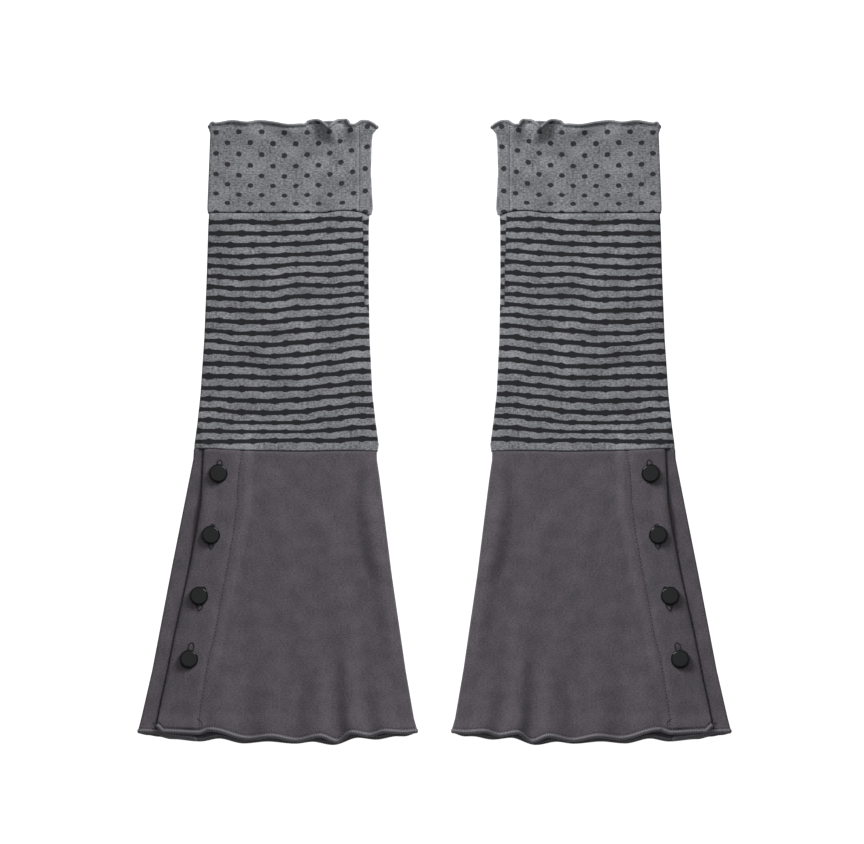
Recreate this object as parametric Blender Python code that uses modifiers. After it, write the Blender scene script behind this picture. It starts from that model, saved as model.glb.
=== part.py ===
"""A pair of flared leg warmers, laid flat side by side, with the buttoned sides outwards.

Each leg warmer is a dotted cuff with a ruffled edge, a striped tube for the calf and a flared skirt for the foot.
The skirt wraps round and laps over itself on the outer side, where four buttons close it.

Sizes are in millimetres, and MM makes them metres where the meshes are made.
A leg warmer is drawn in its own frame: across runs from its middle towards the buttoned side, up runs from the hem
towards the cuff, and z is the height above the table.
"""

import math
from collections import namedtuple

import bmesh
import bpy

MM = 0.001
PAIR_HALF_SPACING = 116.4  # from the line between the two leg warmers to the middle of each
PAIR_MIDDLE = 242.64  # height up the leg of the middle of the pair

# Cloth
KNIT = 1.1  # thickness of the cuff's and the tube's jersey
JERSEY = 1.3  # thickness of the skirt's jersey
FACING = 0.7  # what the turned-in facing adds along the skirt's buttoned edge
EDGE_ROLL = 2.2  # thickness of a rolled and overlocked edge
EDGE_ROLL_DEPTH = 2.8  # how far such an edge reaches into the cloth
LAYER_GAP = 0.6  # air between two layers that lie on each other
SEAM_GAP = 0.3  # between two pieces at a seam
PUFF = 0.9  # how much more the front stands off the back in the middle

# Heights up the leg
FLARE_TOP = 227.6
TUBE_TOP = 416.4
CUFF_TOP = 489.6

# The skirt laps over itself
LAP_WIDTH = 32.0  # width of the under side that lies below the over side, and of the facing
LAP_STEP = 9.0  # width over which the front climbs onto the lap
LAP_RISE_IN_TUBE = 25.0  # how far up the tube the lap's thickness dies away

# How far the waves of an edge reach into the cloth: the edge's own wave, and the flutes that it lifts
HEM_REACH = 46.0
HEM_FLUTE = 95.0
CUFF_REACH = 12.0
CUFF_FLUTE = 24.0

# Where the fold edges lie at each height
Outline = namedtuple("Outline", "up outer inner")
FLARE_OUTLINE = (
    Outline(2.4, 121.1, -103.2),
    Outline(13.6, 118.2, -100.0),
    Outline(52.0, 109.4, -93.4),
    Outline(128.8, 94.8, -82.2),
    Outline(205.6, 79.6, -72.6),
    Outline(221.0, 76.5, -70.3),
    Outline(FLARE_TOP, 76.2, -70.4),
)
TUBE_OUTLINE = (
    Outline(FLARE_TOP + SEAM_GAP, 75.9, -71.2),
    Outline(232.0, 75.7, -71.9),
    Outline(250.4, 73.2, -69.4),
    Outline(272.8, 70.8, -66.8),
    Outline(317.6, 67.8, -64.6),
    Outline(362.4, 66.0, -63.8),
    Outline(407.2, 64.6, -63.9),
    Outline(TUBE_TOP, 64.0, -64.4),
)
CUFF_OUTLINE = (
    Outline(TUBE_TOP + SEAM_GAP, 64.6, -66.2),
    Outline(420.8, 65.4, -67.2),
    Outline(450.4, 63.6, -65.6),
    Outline(474.4, 63.0, -66.3),
    Outline(480.8, 63.0, -67.2),
    Outline(485.6, 64.4, -71.2),
    Outline(CUFF_TOP, 64.6, -72.1),
)

# The edge of the side that laps over
LapEdge = namedtuple("LapEdge", "up across")
LAP_EDGE = (
    LapEdge(0.0, 106.4),
    LapEdge(48.0, 98.2),
    LapEdge(100.0, 87.5),
    LapEdge(132.8, 80.4),
    LapEdge(164.0, 74.8),
    LapEdge(186.4, 71.2),
    LapEdge(FLARE_TOP, 68.8),
)

# Each crest and trough of a ruffled edge: how far the edge reaches there, and how far the cloth lifts
Ruffle = namedtuple("Ruffle", "across up lift")
HEM_FRONT = (
    Ruffle(-103.0, 1.6, 0.0),
    Ruffle(-91.8, 0.8, 0.2),
    Ruffle(-76.8, 1.8, 2.4),
    Ruffle(-64.4, -1.4, 0.4),
    Ruffle(-50.4, 0.9, 4.0),
    Ruffle(-38.6, -6.5, 0.2),
    Ruffle(-24.8, -1.9, 3.0),
    Ruffle(-6.4, -5.5, 0.2),
    Ruffle(15.0, -2.0, 2.6),
    Ruffle(32.0, -4.0, 0.3),
    Ruffle(62.9, 3.2, 3.4),
    Ruffle(73.1, 0.6, 0.6),
    Ruffle(100.0, 2.2, 0.0),
    Ruffle(106.4, 6.4, 0.0),
)
HEM_LAP = (
    Ruffle(72.8, -4.7, 0.0),
    Ruffle(81.3, -3.4, 0.0),
    Ruffle(96.6, -1.9, 0.0),
    Ruffle(106.8, 1.1, 0.0),
    Ruffle(117.0, 2.6, 0.0),
    Ruffle(121.1, 2.2, 0.0),
)
HEM_BACK = (
    Ruffle(-103.0, 1.8, 0.0),
    Ruffle(-92.0, -1.1, 0.4),
    Ruffle(-86.4, -1.0, 0.5),
    Ruffle(-69.6, -3.7, 0.0),
    Ruffle(-55.2, -2.2, 0.8),
    Ruffle(-35.2, -8.0, 0.0),
    Ruffle(-18.8, -5.4, 0.7),
    Ruffle(-5.0, -7.0, 0.0),
    Ruffle(17.0, -5.2, 0.7),
    Ruffle(36.0, -6.8, 0.0),
    Ruffle(56.0, -2.8, 0.8),
    Ruffle(71.0, -5.2, 0.0),
    Ruffle(94.0, -3.3, 0.0),
    Ruffle(104.2, -1.8, 0.0),
    Ruffle(121.1, 2.0, 0.0),
)
CUFF_FRONT = (
    Ruffle(-72.1, 486.8, 0.0),
    Ruffle(-62.4, 492.1, 1.2),
    Ruffle(-51.2, 488.8, 3.4),
    Ruffle(-43.2, 492.9, 1.0),
    Ruffle(-32.4, 487.6, 4.6),
    Ruffle(-21.6, 492.6, 0.5),
    Ruffle(-12.0, 488.6, 1.9),
    Ruffle(0.8, 488.8, 2.0),
    Ruffle(24.0, 492.0, 0.4),
    Ruffle(33.6, 490.7, 1.8),
    Ruffle(45.6, 492.0, 0.3),
    Ruffle(58.4, 490.0, 0.8),
    Ruffle(61.6, 490.7, 0.4),
    Ruffle(64.6, 486.6, 0.0),
)
CUFF_BACK = (
    Ruffle(-72.1, 486.4, 0.0),
    Ruffle(-61.6, 490.0, 0.0),
    Ruffle(-51.2, 487.8, 0.6),
    Ruffle(-43.0, 490.4, 0.0),
    Ruffle(-29.6, 491.4, 0.8),
    Ruffle(-13.6, 487.6, 0.0),
    Ruffle(0.0, 487.6, 0.5),
    Ruffle(15.2, 490.0, 0.0),
    Ruffle(33.6, 489.2, 0.5),
    Ruffle(51.2, 490.0, 0.0),
    Ruffle(64.6, 486.4, 0.0),
)

# Soft creases that drag across the tube's front, from one end to the other
Crease = namedtuple("Crease", "from_across from_up to_across to_up width height")
TUBE_CREASES = (
    Crease(42.0, 388.0, 14.0, 356.0, 17.0, 0.9),
    Crease(34.0, 350.0, 4.0, 330.0, 15.0, 0.7),
    Crease(30.0, 316.0, -10.0, 282.0, 17.0, 1.0),
    Crease(56.0, 292.0, 32.0, 276.0, 13.0, 0.6),
    Crease(-26.0, 300.0, -52.0, 324.0, 15.0, 0.7),
)

# The buttons, and how far each face leans to the middle and to the cuff, in degrees
Button = namedtuple("Button", "across up lean_in lean_up")
BUTTONS = (
    Button(56.4, 209.6, 5.0, 5.0),
    Button(62.8, 160.2, 6.0, 4.0),
    Button(72.6, 111.2, 5.0, 5.0),
    Button(80.5, 60.0, 6.0, 4.0),
)
BUTTON_SIDES = 20
BUTTON_CLEARANCE = 0.3
BUTTON_GAP = 0.9  # height of the thread shank that holds a button off the cloth

# Half of a button's outline, down its outer side from the middle of its face to the end of its thread shank
Profile = namedtuple("Profile", "radius z")
BUTTON_PROFILE = (
    Profile(0.0, 3.0),
    Profile(5.9, 3.0),
    Profile(6.7, 3.3),
    Profile(7.4, 2.7),
    Profile(7.5, 1.6),
    Profile(6.4, 0.3),
    Profile(2.4, 0.0),
    Profile(2.2, -BUTTON_GAP),
    Profile(0.0, -BUTTON_GAP),
)

# Steps round each piece, and the height of each ring of points
Stretch = namedtuple("Stretch", "layer steps")
FOLD_STEPS = 4
FLARE_STRETCHES = (
    Stretch("lap", 5),
    Stretch("outer lap fold", FOLD_STEPS),
    Stretch("back", 22),
    Stretch("inner fold", FOLD_STEPS),
    Stretch("front", 36),
)
TUBE_STRETCHES = (
    Stretch("back", 6),
    Stretch("inner fold", FOLD_STEPS),
    Stretch("front", 14),
    Stretch("outer fold", FOLD_STEPS),
)
CUFF_STRETCHES = (
    Stretch("back", 18),
    Stretch("inner fold", FOLD_STEPS),
    Stretch("front", 34),
    Stretch("outer fold", FOLD_STEPS),
)
FLARE_RINGS = (0.0, EDGE_ROLL_DEPTH, 9.0, 26.0, 56.0, 104.0, 164.0, 212.0, FLARE_TOP)
TUBE_RINGS = (FLARE_TOP + SEAM_GAP, 232.0, 250.0, 272.0, 290.0, 308.0, 328.0, 348.0, 370.0, 394.0, TUBE_TOP)
CUFF_RINGS = (TUBE_TOP + SEAM_GAP, 421.0, 446.0, 470.0, 480.8, CUFF_TOP - EDGE_ROLL_DEPTH, CUFF_TOP)

Finish = namedtuple("Finish", "name colour roughness")
DOTTED_KNIT = Finish("dotted_knit", (0.182, 0.184, 0.198), 0.95)
STRIPED_KNIT = Finish("striped_knit", (0.116, 0.117, 0.128), 0.95)
PLAIN_JERSEY = Finish("plain_jersey", (0.080, 0.072, 0.083), 0.95)
BUTTON_BLACK = Finish("button_black", (0.016, 0.018, 0.021), 0.35)


def ease(share):
    """0 to 1 with a soft start and end."""
    share = min(1.0, max(0.0, share))
    return share * share * (3.0 - 2.0 * share)


def blend(low, high, share):
    return low + share * (high - low)


def read(rows, at, field, turn=lambda share: share):
    """A field of a table at a place between two of its rows, by the table's first column."""
    if at <= rows[0][0]:
        return getattr(rows[0], field)
    for low, high in zip(rows, rows[1:]):
        if at <= high[0]:
            return blend(getattr(low, field), getattr(high, field), turn((at - low[0]) / (high[0] - low[0])))
    return getattr(rows[-1], field)


class FlatTube:
    """A tube of cloth laid flat: its back on the table, its front on its back, and a fold at each side."""

    cloth = KNIT

    def __init__(self, outline, stretches, rings):
        self.outline = outline
        self.stretches = stretches
        self.rings = rings

    def share_across(self, across, up):
        """0 at the inner fold and 1 at the outer one."""
        inner = read(self.outline, up, "inner")
        return (across - inner) / (read(self.outline, up, "outer") - inner)

    def shift(self, layer, across, ring):
        """How far the ruffle moves a point of a ring along the leg."""
        return 0.0

    def lift(self, layer, across, up):
        """How far a ruffle or a crease lifts the cloth."""
        return 0.0

    def step(self, across, up):
        """How far the front climbs over a lap."""
        return 0.0

    def stack(self, up):
        """The thickness that the layer above has to clear."""
        return self.cloth

    def wall(self, layer, across, ring):
        return self.cloth

    def underside(self, layer, across, up):
        """Each layer lies on the one below it, so no ruffle pushes one through another."""
        back = self.lift("back", across, up)
        if layer == "back":
            return back
        middle = 1.0 - (2.0 * self.share_across(across, up) - 1.0) ** 4
        on_back = back + self.stack(up) + LAYER_GAP + PUFF * max(0.0, middle)
        if layer == "lap":
            return on_back
        return on_back + self.step(across, up) + self.lift("front", across, up)

    def outer_face(self, layer, across, up, ring):
        """The height of the face that shows from outside the tube."""
        bottom = self.underside(layer, across, up)
        return bottom if layer == "back" else bottom + self.wall(layer, across, ring)

    def ends(self, layer, up, radius):
        """Where a layer starts and stops, in the order in which a ring goes round."""
        outer = read(self.outline, up, "outer") - radius
        inner = read(self.outline, up, "inner") + radius
        return (outer, inner) if layer == "back" else (inner, outer)

    def flat_point(self, layer, share, ring):
        radius = self.wall(layer, 0.0, ring) + LAYER_GAP / 2
        across = blend(*self.ends(layer, ring, radius), share)
        up = ring + self.shift(layer, across, ring)
        across = blend(*self.ends(layer, up, radius), share)
        return across, up, self.outer_face(layer, across, up, ring)

    def fold_point(self, name, share, ring):
        """Half a turn from the upper layer down to the back at the outer fold, or up from it at the inner one."""
        outer = name.startswith("outer")
        upper = "lap" if "lap" in name else "front"
        high = self.flat_point(upper, 1.0 if outer else 0.0, ring)
        low = self.flat_point("back", 0.0 if outer else 1.0, ring)
        turn = math.pi * (0.5 - share if outer else share - 0.5)
        bulge = (self.wall("back", 0.0, ring) + LAYER_GAP / 2) * math.cos(turn)
        raised = (1.0 + math.sin(turn)) / 2
        across = blend(low[0], high[0], raised) + (bulge if outer else -bulge)
        return across, blend(low[1], high[1], raised), blend(low[2], high[2], raised)

    def columns(self):
        """The stretch and the share along it of each point once round."""
        for stretch in self.stretches:
            for step in range(stretch.steps):
                yield stretch.layer, step / stretch.steps
        yield self.stretches[-1].layer, 1.0

    def point(self, layer, share, ring):
        return self.fold_point(layer, share, ring) if "fold" in layer else self.flat_point(layer, share, ring)


class Tube(FlatTube):
    """The striped tube for the calf, which rides up on the skirt's lap at its lower end."""

    def step(self, across, up):
        lap_edge = LAP_EDGE[-1].across
        on_lap = ease((across - lap_edge + LAP_WIDTH + LAP_STEP) / LAP_STEP) * ease((lap_edge + 6.0 - across) / 6.0)
        fade = 1.0 - ease((up - FLARE_TOP) / LAP_RISE_IN_TUBE)
        return (JERSEY + LAYER_GAP + FACING) * on_lap * fade

    def lift(self, layer, across, up):
        height = 0.0
        for crease in TUBE_CREASES if layer == "front" else ():
            run_across = crease.to_across - crease.from_across
            run_up = crease.to_up - crease.from_up
            length = math.hypot(run_across, run_up)
            from_across = across - crease.from_across
            from_up = up - crease.from_up
            along = (from_across * run_across + from_up * run_up) / length
            beside = (from_across * run_up - from_up * run_across) / length
            past_end = max(-along, along - length, 0.0)
            height += crease.height * ease(1.0 - math.hypot(beside, past_end) / crease.width)
        return height


class Cuff(FlatTube):
    """The dotted cuff, whose upper edge is rolled, overlocked and ruffled."""

    ruffles = {"front": CUFF_FRONT, "back": CUFF_BACK}

    def shift(self, layer, across, ring):
        reach = read(self.ruffles[layer], across, "up", ease) - CUFF_TOP
        return reach * (1.0 - ease((CUFF_TOP - ring) / CUFF_REACH))

    def lift(self, layer, across, up):
        return read(self.ruffles[layer], across, "lift", ease) * (1.0 - ease((CUFF_TOP - up) / CUFF_FLUTE))

    def stack(self, up):
        return blend(self.cloth, EDGE_ROLL, ease((up - CUFF_TOP + 20.0) / 14.0))

    def wall(self, layer, across, ring):
        return EDGE_ROLL if ring > CUFF_TOP - EDGE_ROLL_DEPTH - 0.1 else self.cloth


class Flare(FlatTube):
    """The plain skirt, one panel that goes round from the lap below the buttons to the buttoned edge on top."""

    cloth = JERSEY
    ruffles = {"front": HEM_FRONT, "back": HEM_BACK, "lap": HEM_LAP}

    def at_hem(self, across, up):
        """The place on the hem that lies below a point, as the skirt widens."""
        return blend(FLARE_OUTLINE[0].inner, FLARE_OUTLINE[0].outer, self.share_across(across, up))

    def shift(self, layer, across, ring):
        reach = read(self.ruffles[layer], self.at_hem(across, ring), "up", ease)
        return reach * (1.0 - ease(ring / HEM_REACH))

    def lift(self, layer, across, up):
        return read(self.ruffles[layer], self.at_hem(across, up), "lift", ease) * (1.0 - ease(up / HEM_FLUTE))

    def on_lap(self, across, up):
        """0 beside the lap and 1 on it."""
        lap_end = read(LAP_EDGE, up, "across") - LAP_WIDTH
        return ease((across - lap_end + LAP_STEP) / (LAP_STEP - 1.0))

    def step(self, across, up):
        return (self.stack(up) + LAYER_GAP) * self.on_lap(across, up)

    def stack(self, up):
        return blend(EDGE_ROLL, self.cloth, ease((up - 5.0) / 14.0))

    def wall(self, layer, across, ring):
        if ring < EDGE_ROLL_DEPTH + 0.1:
            return EDGE_ROLL
        return self.cloth + (FACING * self.on_lap(across, ring) if layer == "front" else 0.0)

    def ends(self, layer, up, radius):
        lap_edge = read(LAP_EDGE, up, "across")
        start, stop = super().ends(layer, up, radius)
        if layer == "lap":
            start = lap_edge - LAP_WIDTH
        if layer == "front":
            stop = lap_edge
        return start, stop


def material_of(finish):
    material = bpy.data.materials.get(finish.name)
    if material is None:
        material = bpy.data.materials.new(finish.name)
        material.use_nodes = True
        shader = material.node_tree.nodes["Principled BSDF"]
        shader.inputs["Base Color"].default_value = (*finish.colour, 1.0)
        shader.inputs["Roughness"].default_value = finish.roughness
        shader.inputs["Metallic"].default_value = 0.0
    return material


def add_object(name, mesh, finish, leg):
    mesh.materials.append(material_of(finish))
    piece = bpy.data.objects.new(name, mesh)
    piece.parent = leg
    leg.users_collection[0].objects.link(piece)
    return piece


def add_cloth(name, cloth, finish, leg, side):
    """The outer face of a piece as a grid wrapped round it, with a Solidify for the cloth's own thickness."""
    columns = list(cloth.columns())
    grid = bmesh.new()
    bmesh.ops.create_grid(grid, x_segments=len(columns) - 1, y_segments=len(cloth.rings) - 1, size=1.0)
    walls = []
    for vert in grid.verts:
        layer, share = columns[round((vert.co.x + 1.0) / 2.0 * (len(columns) - 1))]
        ring = cloth.rings[round((vert.co.y + 1.0) / 2.0 * (len(cloth.rings) - 1))]
        across, up, z = cloth.point(layer, share, ring)
        vert.co = (side * across * MM, up * MM, z * MM)
        walls.append(cloth.wall("back" if "fold" in layer else layer, across, ring))
    if side < 0:
        bmesh.ops.reverse_faces(grid, faces=grid.faces)
    mesh = bpy.data.meshes.new(name)
    grid.to_mesh(mesh)
    grid.free()
    piece = add_object(name, mesh, finish, leg)
    thickness = piece.vertex_groups.new(name="thickness")
    for index, wall in enumerate(walls):
        thickness.add([index], wall / EDGE_ROLL, "REPLACE")
    weld = piece.modifiers.new("join the ring", "WELD")
    weld.merge_threshold = 0.00002
    solidify = piece.modifiers.new("cloth", "SOLIDIFY")
    solidify.thickness = EDGE_ROLL * MM
    solidify.vertex_group = thickness.name
    solidify.offset = -1.0
    return piece


def add_button(name, button, flare, leg, side):
    """A turned disc on its thread shank, seated on the skirt's buttoned edge."""
    mesh = bpy.data.meshes.new(name)
    points = [(row.radius * MM, 0.0, row.z * MM) for row in BUTTON_PROFILE]
    mesh.from_pydata(points, [(index, index + 1) for index in range(len(points) - 1)], [])
    piece = add_object(name, mesh, BUTTON_BLACK, leg)
    turned = piece.modifiers.new("turned", "SCREW")
    turned.steps = BUTTON_SIDES
    turned.render_steps = BUTTON_SIDES
    turned.use_merge_vertices = True
    turned.merge_threshold = 0.00001
    cloth_top = flare.outer_face("front", button.across, button.up, button.up)
    seat = cloth_top + BUTTON_CLEARANCE + BUTTON_GAP
    piece.location = (side * button.across * MM, button.up * MM, seat * MM)
    piece.rotation_euler = (-math.radians(button.lean_up), -side * math.radians(button.lean_in), 0.0)
    return piece


def add_leg_warmer(word, side, pair):
    leg = bpy.data.objects.new(word + "_leg_warmer", None)
    leg.location = (side * PAIR_HALF_SPACING * MM, -PAIR_MIDDLE * MM, 0.0)
    pair.objects.link(leg)
    flare = Flare(FLARE_OUTLINE, FLARE_STRETCHES, FLARE_RINGS)
    tube = Tube(TUBE_OUTLINE, TUBE_STRETCHES, TUBE_RINGS)
    cuff = Cuff(CUFF_OUTLINE, CUFF_STRETCHES, CUFF_RINGS)
    add_cloth(word + "_cuff", cuff, DOTTED_KNIT, leg, side)
    add_cloth(word + "_tube", tube, STRIPED_KNIT, leg, side)
    add_cloth(word + "_flare", flare, PLAIN_JERSEY, leg, side)
    for number, button in enumerate(BUTTONS, start=1):
        add_button(f"{word}_button_{number}", button, flare, leg, side)


for thing in list(bpy.data.objects):
    bpy.data.objects.remove(thing, do_unlink=True)
pair = bpy.data.collections.new("pair_of_leg_warmers")
bpy.context.scene.collection.children.link(pair)
add_leg_warmer("left", -1, pair)
add_leg_warmer("right", 1, pair)
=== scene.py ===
import math
from collections import namedtuple

import bmesh
import bpy
from mathutils import Euler, Matrix, Vector


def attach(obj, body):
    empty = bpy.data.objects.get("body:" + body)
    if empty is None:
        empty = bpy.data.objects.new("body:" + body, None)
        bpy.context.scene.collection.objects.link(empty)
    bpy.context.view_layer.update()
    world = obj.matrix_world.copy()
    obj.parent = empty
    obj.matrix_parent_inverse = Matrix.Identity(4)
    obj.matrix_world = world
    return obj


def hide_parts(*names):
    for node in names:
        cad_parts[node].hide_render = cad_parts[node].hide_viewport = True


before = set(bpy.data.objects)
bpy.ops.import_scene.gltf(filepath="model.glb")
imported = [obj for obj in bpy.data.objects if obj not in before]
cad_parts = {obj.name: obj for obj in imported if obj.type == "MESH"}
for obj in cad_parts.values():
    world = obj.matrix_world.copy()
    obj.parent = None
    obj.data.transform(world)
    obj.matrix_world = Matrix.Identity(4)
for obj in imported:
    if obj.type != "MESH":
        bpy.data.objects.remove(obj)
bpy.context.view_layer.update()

# The table that the pair lies on, seen straight from above.
# A softbox hangs above the cuffs in a pale room, and a smaller lamp stands off each one's inner upper corner.
# The photo's halves are mirror images down to their shadows, so each lamp lights its own leg warmer only.
MM = 0.001
CAMERA_HEIGHT = 6000.0
VIEW_WIDTH = 691.2
VIEW_MIDDLE = (-2.0, 7.8)
SENSOR_WIDTH = 36.0
FLOOR_SIZE = 6.0
LAMP_DISTANCE = 2400.0
LAMP_LEAN = math.radians(60.0)
LAMP_TURN = math.radians(45.0)
LAMP_SIZE = 930.0
LAMP_POWER = 78.0
PAIR_HALF_SPACING = 116.4
SIDES = (("left", -1), ("right", 1))
FLOOR_GLOW = 0.8
ROOM_STRENGTH = 0.2
SOFTBOX_HEIGHT = 2700.0
SOFTBOX_FORWARD = 1000.0
SOFTBOX_SIZE = 3000.0
SOFTBOX_POWER = 35.8
WHITE = (1.0, 1.0, 1.0, 1.0)
FLOOR_GREY = (0.93, 0.93, 0.93, 1.0)
FLOOR_DROP = 0.2

scene = bpy.context.scene
scene.view_settings.view_transform = "Standard"
scene.view_settings.look = "None"

camera_data = bpy.data.cameras.new("camera")
camera_data.sensor_width = SENSOR_WIDTH
camera_data.lens = SENSOR_WIDTH * CAMERA_HEIGHT / VIEW_WIDTH
camera = bpy.data.objects.new("camera", camera_data)
camera.location = (VIEW_MIDDLE[0] * MM, VIEW_MIDDLE[1] * MM, CAMERA_HEIGHT * MM)
scene.collection.objects.link(camera)
scene.camera = camera

lit_by_lamp = {}
for word, side in SIDES:
    lamp_data = bpy.data.lights.new(f"{word}_lamp", "AREA")
    lamp_data.size = LAMP_SIZE * MM
    lamp_data.energy = LAMP_POWER
    lamp = bpy.data.objects.new(f"{word}_lamp", lamp_data)
    reach = LAMP_DISTANCE * math.sin(LAMP_LEAN)
    from_leg = Vector((-side * reach * math.cos(LAMP_TURN), reach * math.sin(LAMP_TURN), 0.0))
    from_leg.z = LAMP_DISTANCE * math.cos(LAMP_LEAN)
    lamp.location = (Vector((side * PAIR_HALF_SPACING, 0.0, 0.0)) + from_leg) * MM
    lamp.rotation_euler = (-from_leg).to_track_quat("-Z", "Y").to_euler()
    lit_by_lamp[word] = bpy.data.collections.new(f"{word}_leg_warmer")
    lamp.light_linking.receiver_collection = lit_by_lamp[word]
    scene.collection.objects.link(lamp)

softbox_data = bpy.data.lights.new("softbox", "AREA")
softbox_data.size = SOFTBOX_SIZE * MM
softbox_data.energy = SOFTBOX_POWER
softbox = bpy.data.objects.new("softbox", softbox_data)
softbox.location = (0.0, SOFTBOX_FORWARD * MM, SOFTBOX_HEIGHT * MM)
softbox.rotation_euler = (-softbox.location).to_track_quat("-Z", "Y").to_euler()
softbox.visible_camera = False
scene.collection.objects.link(softbox)

room = bpy.data.worlds.new("room")
room.use_nodes = True
room.node_tree.nodes["Background"].inputs["Color"].default_value = WHITE
room.node_tree.nodes["Background"].inputs["Strength"].default_value = ROOM_STRENGTH
scene.world = room

floor_mesh = bpy.data.meshes.new("floor")
floor_cage = bmesh.new()
bmesh.ops.create_grid(floor_cage, x_segments=1, y_segments=1, size=FLOOR_SIZE / 2)
bmesh.ops.translate(floor_cage, verts=floor_cage.verts, vec=(0.0, 0.0, -FLOOR_DROP * MM))
floor_cage.to_mesh(floor_mesh)
floor_cage.free()
floor = bpy.data.objects.new("floor", floor_mesh)
scene.collection.objects.link(floor)
floor_paint = bpy.data.materials.new("pale_floor")
floor_paint.use_nodes = True
floor_shader = floor_paint.node_tree.nodes["Principled BSDF"]
floor_shader.inputs["Base Color"].default_value = FLOOR_GREY
floor_shader.inputs["Roughness"].default_value = 0.9
floor_shader.inputs["Specular IOR Level"].default_value = 0.1
floor_shader.inputs["Emission Color"].default_value = WHITE
floor_shader.inputs["Emission Strength"].default_value = FLOOR_GLOW
floor_mesh.materials.append(floor_paint)

# The skirt: one panel of plain dark jersey round the leg, which laps over itself below the buttons.
# The upper side has a turned-in facing, and the hem waves because it is stretched as it is overlocked.
# Millimetres: across from the leg warmer's middle to its buttoned side, up from the hem, z off the table.
PAIR_MIDDLE = 242.64
KNIT = 1.1
JERSEY = 1.3
FACING = 0.7
EDGE_ROLL = 2.2
LAYER_GAP = 0.6
SEAM_GAP = 0.3
PUFF = 0.9
FLARE_TOP = 227.6
LAP_WIDTH = 32.0
LAP_STEP = 9.0
HEM_REACH = 46.0
HEM_FLUTE = 95.0
FOLD_STEPS = 8
FOLDED_EDGE = 2.6
SEAM_DIP = 1.1
SEAM_DIP_REACH = 2.2
PLACKET_DIP = 0.9
PLACKET_THINNING = 0.9
GROOVE_SOFTNESS = 0.4
GROOVE_START = 8.0
WEDGE_DEPTH = 0.9
WEDGE_MIDDLE = 178.0
WEDGE_REACH = 26.0
WEDGE_WIDTH = 6.0
LAP_EDGE_SHARE = 0.7
STITCH_SHARE = 0.8
STITCH_PITCH = 2.65
CREASE_FADE = 12.0
HEM_STACK_REACH = 5.0
STACK_FADE = 14.0
HEM_SWELL = 0.6
HEM_SWELL_REACH = 2.4
HEM_SWELL_FADE = 4.0
HEM_NEEDLES = 4.3
FACING_START = 3.4
FACING_START_FADE = 2.6
FACING_CROWN = 0.7
FACING_CROWN_PLACE = 5.0
FACING_CROWN_FAR = 13.0
FACING_CROWN_NEAR = 4.7
THINNEST_FOLD = 0.12
EDGE_SINK = -0.3
EDGE_SINK_REACH = 4.0
EDGE_SINK_START = 12.0
LAP_GAPE = 2.0
LAP_GAPE_REACH = 14.0
LAP_GAPE_MIDDLE = 172.0
LAP_GAPE_HALF_HEIGHT = 34.0

# Low ridges along a line, and grooves where the height is negative
Ridge = namedtuple("Ridge", "height reach")
NEEDLE_GROOVE = Ridge(-0.18, 1.4)
UNDER_HEM_ROLL = Ridge(-0.35, 1.2)

Outline = namedtuple("Outline", "up outer inner")
FLARE_OUTLINE = (
    Outline(2.4, 121.1, -103.2),
    Outline(13.6, 118.2, -100.0),
    Outline(52.0, 109.4, -93.4),
    Outline(128.8, 94.8, -82.2),
    Outline(205.6, 79.6, -72.6),
    Outline(221.0, 76.5, -70.3),
    Outline(FLARE_TOP, 76.2, -70.4),
)
LapEdge = namedtuple("LapEdge", "up across")
LAP_EDGE = (
    LapEdge(0.0, 106.4),
    LapEdge(6.0, 105.6),
    LapEdge(27.6, 101.5),
    LapEdge(47.6, 97.2),
    LapEdge(79.6, 90.9),
    LapEdge(99.6, 86.4),
    LapEdge(132.4, 79.2),
    LapEdge(143.6, 77.1),
    LapEdge(163.6, 73.2),
    LapEdge(186.0, 69.7),
    LapEdge(211.6, 68.6),
    LapEdge(FLARE_TOP, 67.9),
)
# Half the width of the groove along that edge
Groove = namedtuple("Groove", "up half_width")
PLACKET_GROOVE = (
    Groove(0.0, 0.5),
    Groove(48.0, 0.6),
    Groove(100.0, 0.7),
    Groove(143.0, 0.8),
    Groove(172.0, 1.0),
    Groove(200.0, 0.65),
    Groove(218.0, 0.55),
    Groove(FLARE_TOP, 0.9),
)
StitchLine = namedtuple("StitchLine", "up across")
TOPSTITCHING = (
    StitchLine(3.0, 71.5),
    StitchLine(16.0, 71.5),
    StitchLine(38.0, 68.1),
    StitchLine(49.2, 66.2),
    StitchLine(60.5, 64.4),
    StitchLine(66.5, 63.2),
    StitchLine(77.6, 59.7),
    StitchLine(108.0, 54.4),
    StitchLine(133.6, 49.3),
    StitchLine(157.6, 45.0),
    StitchLine(186.4, 41.2),
    StitchLine(200.0, 40.7),
    StitchLine(211.4, 39.7),
    StitchLine(216.8, 38.9),
    StitchLine(225.6, 37.8),
)
Ruffle = namedtuple("Ruffle", "across up lift")
HEM_FRONT = (
    Ruffle(-103.0, 1.6, 0.0),
    Ruffle(-91.8, 0.8, 0.2),
    Ruffle(-76.8, 1.8, 2.4),
    Ruffle(-64.4, -1.4, 0.4),
    Ruffle(-50.4, 0.9, 4.0),
    Ruffle(-38.6, -6.5, 0.2),
    Ruffle(-24.8, -1.9, 3.0),
    Ruffle(-6.4, -5.5, 0.2),
    Ruffle(15.0, -2.0, 2.6),
    Ruffle(32.0, -4.0, 0.3),
    Ruffle(62.9, 3.2, 3.4),
    Ruffle(73.1, 0.6, 0.6),
    Ruffle(100.0, 1.7, 0.0),
    Ruffle(106.4, 5.9, 0.0),
)
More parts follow.
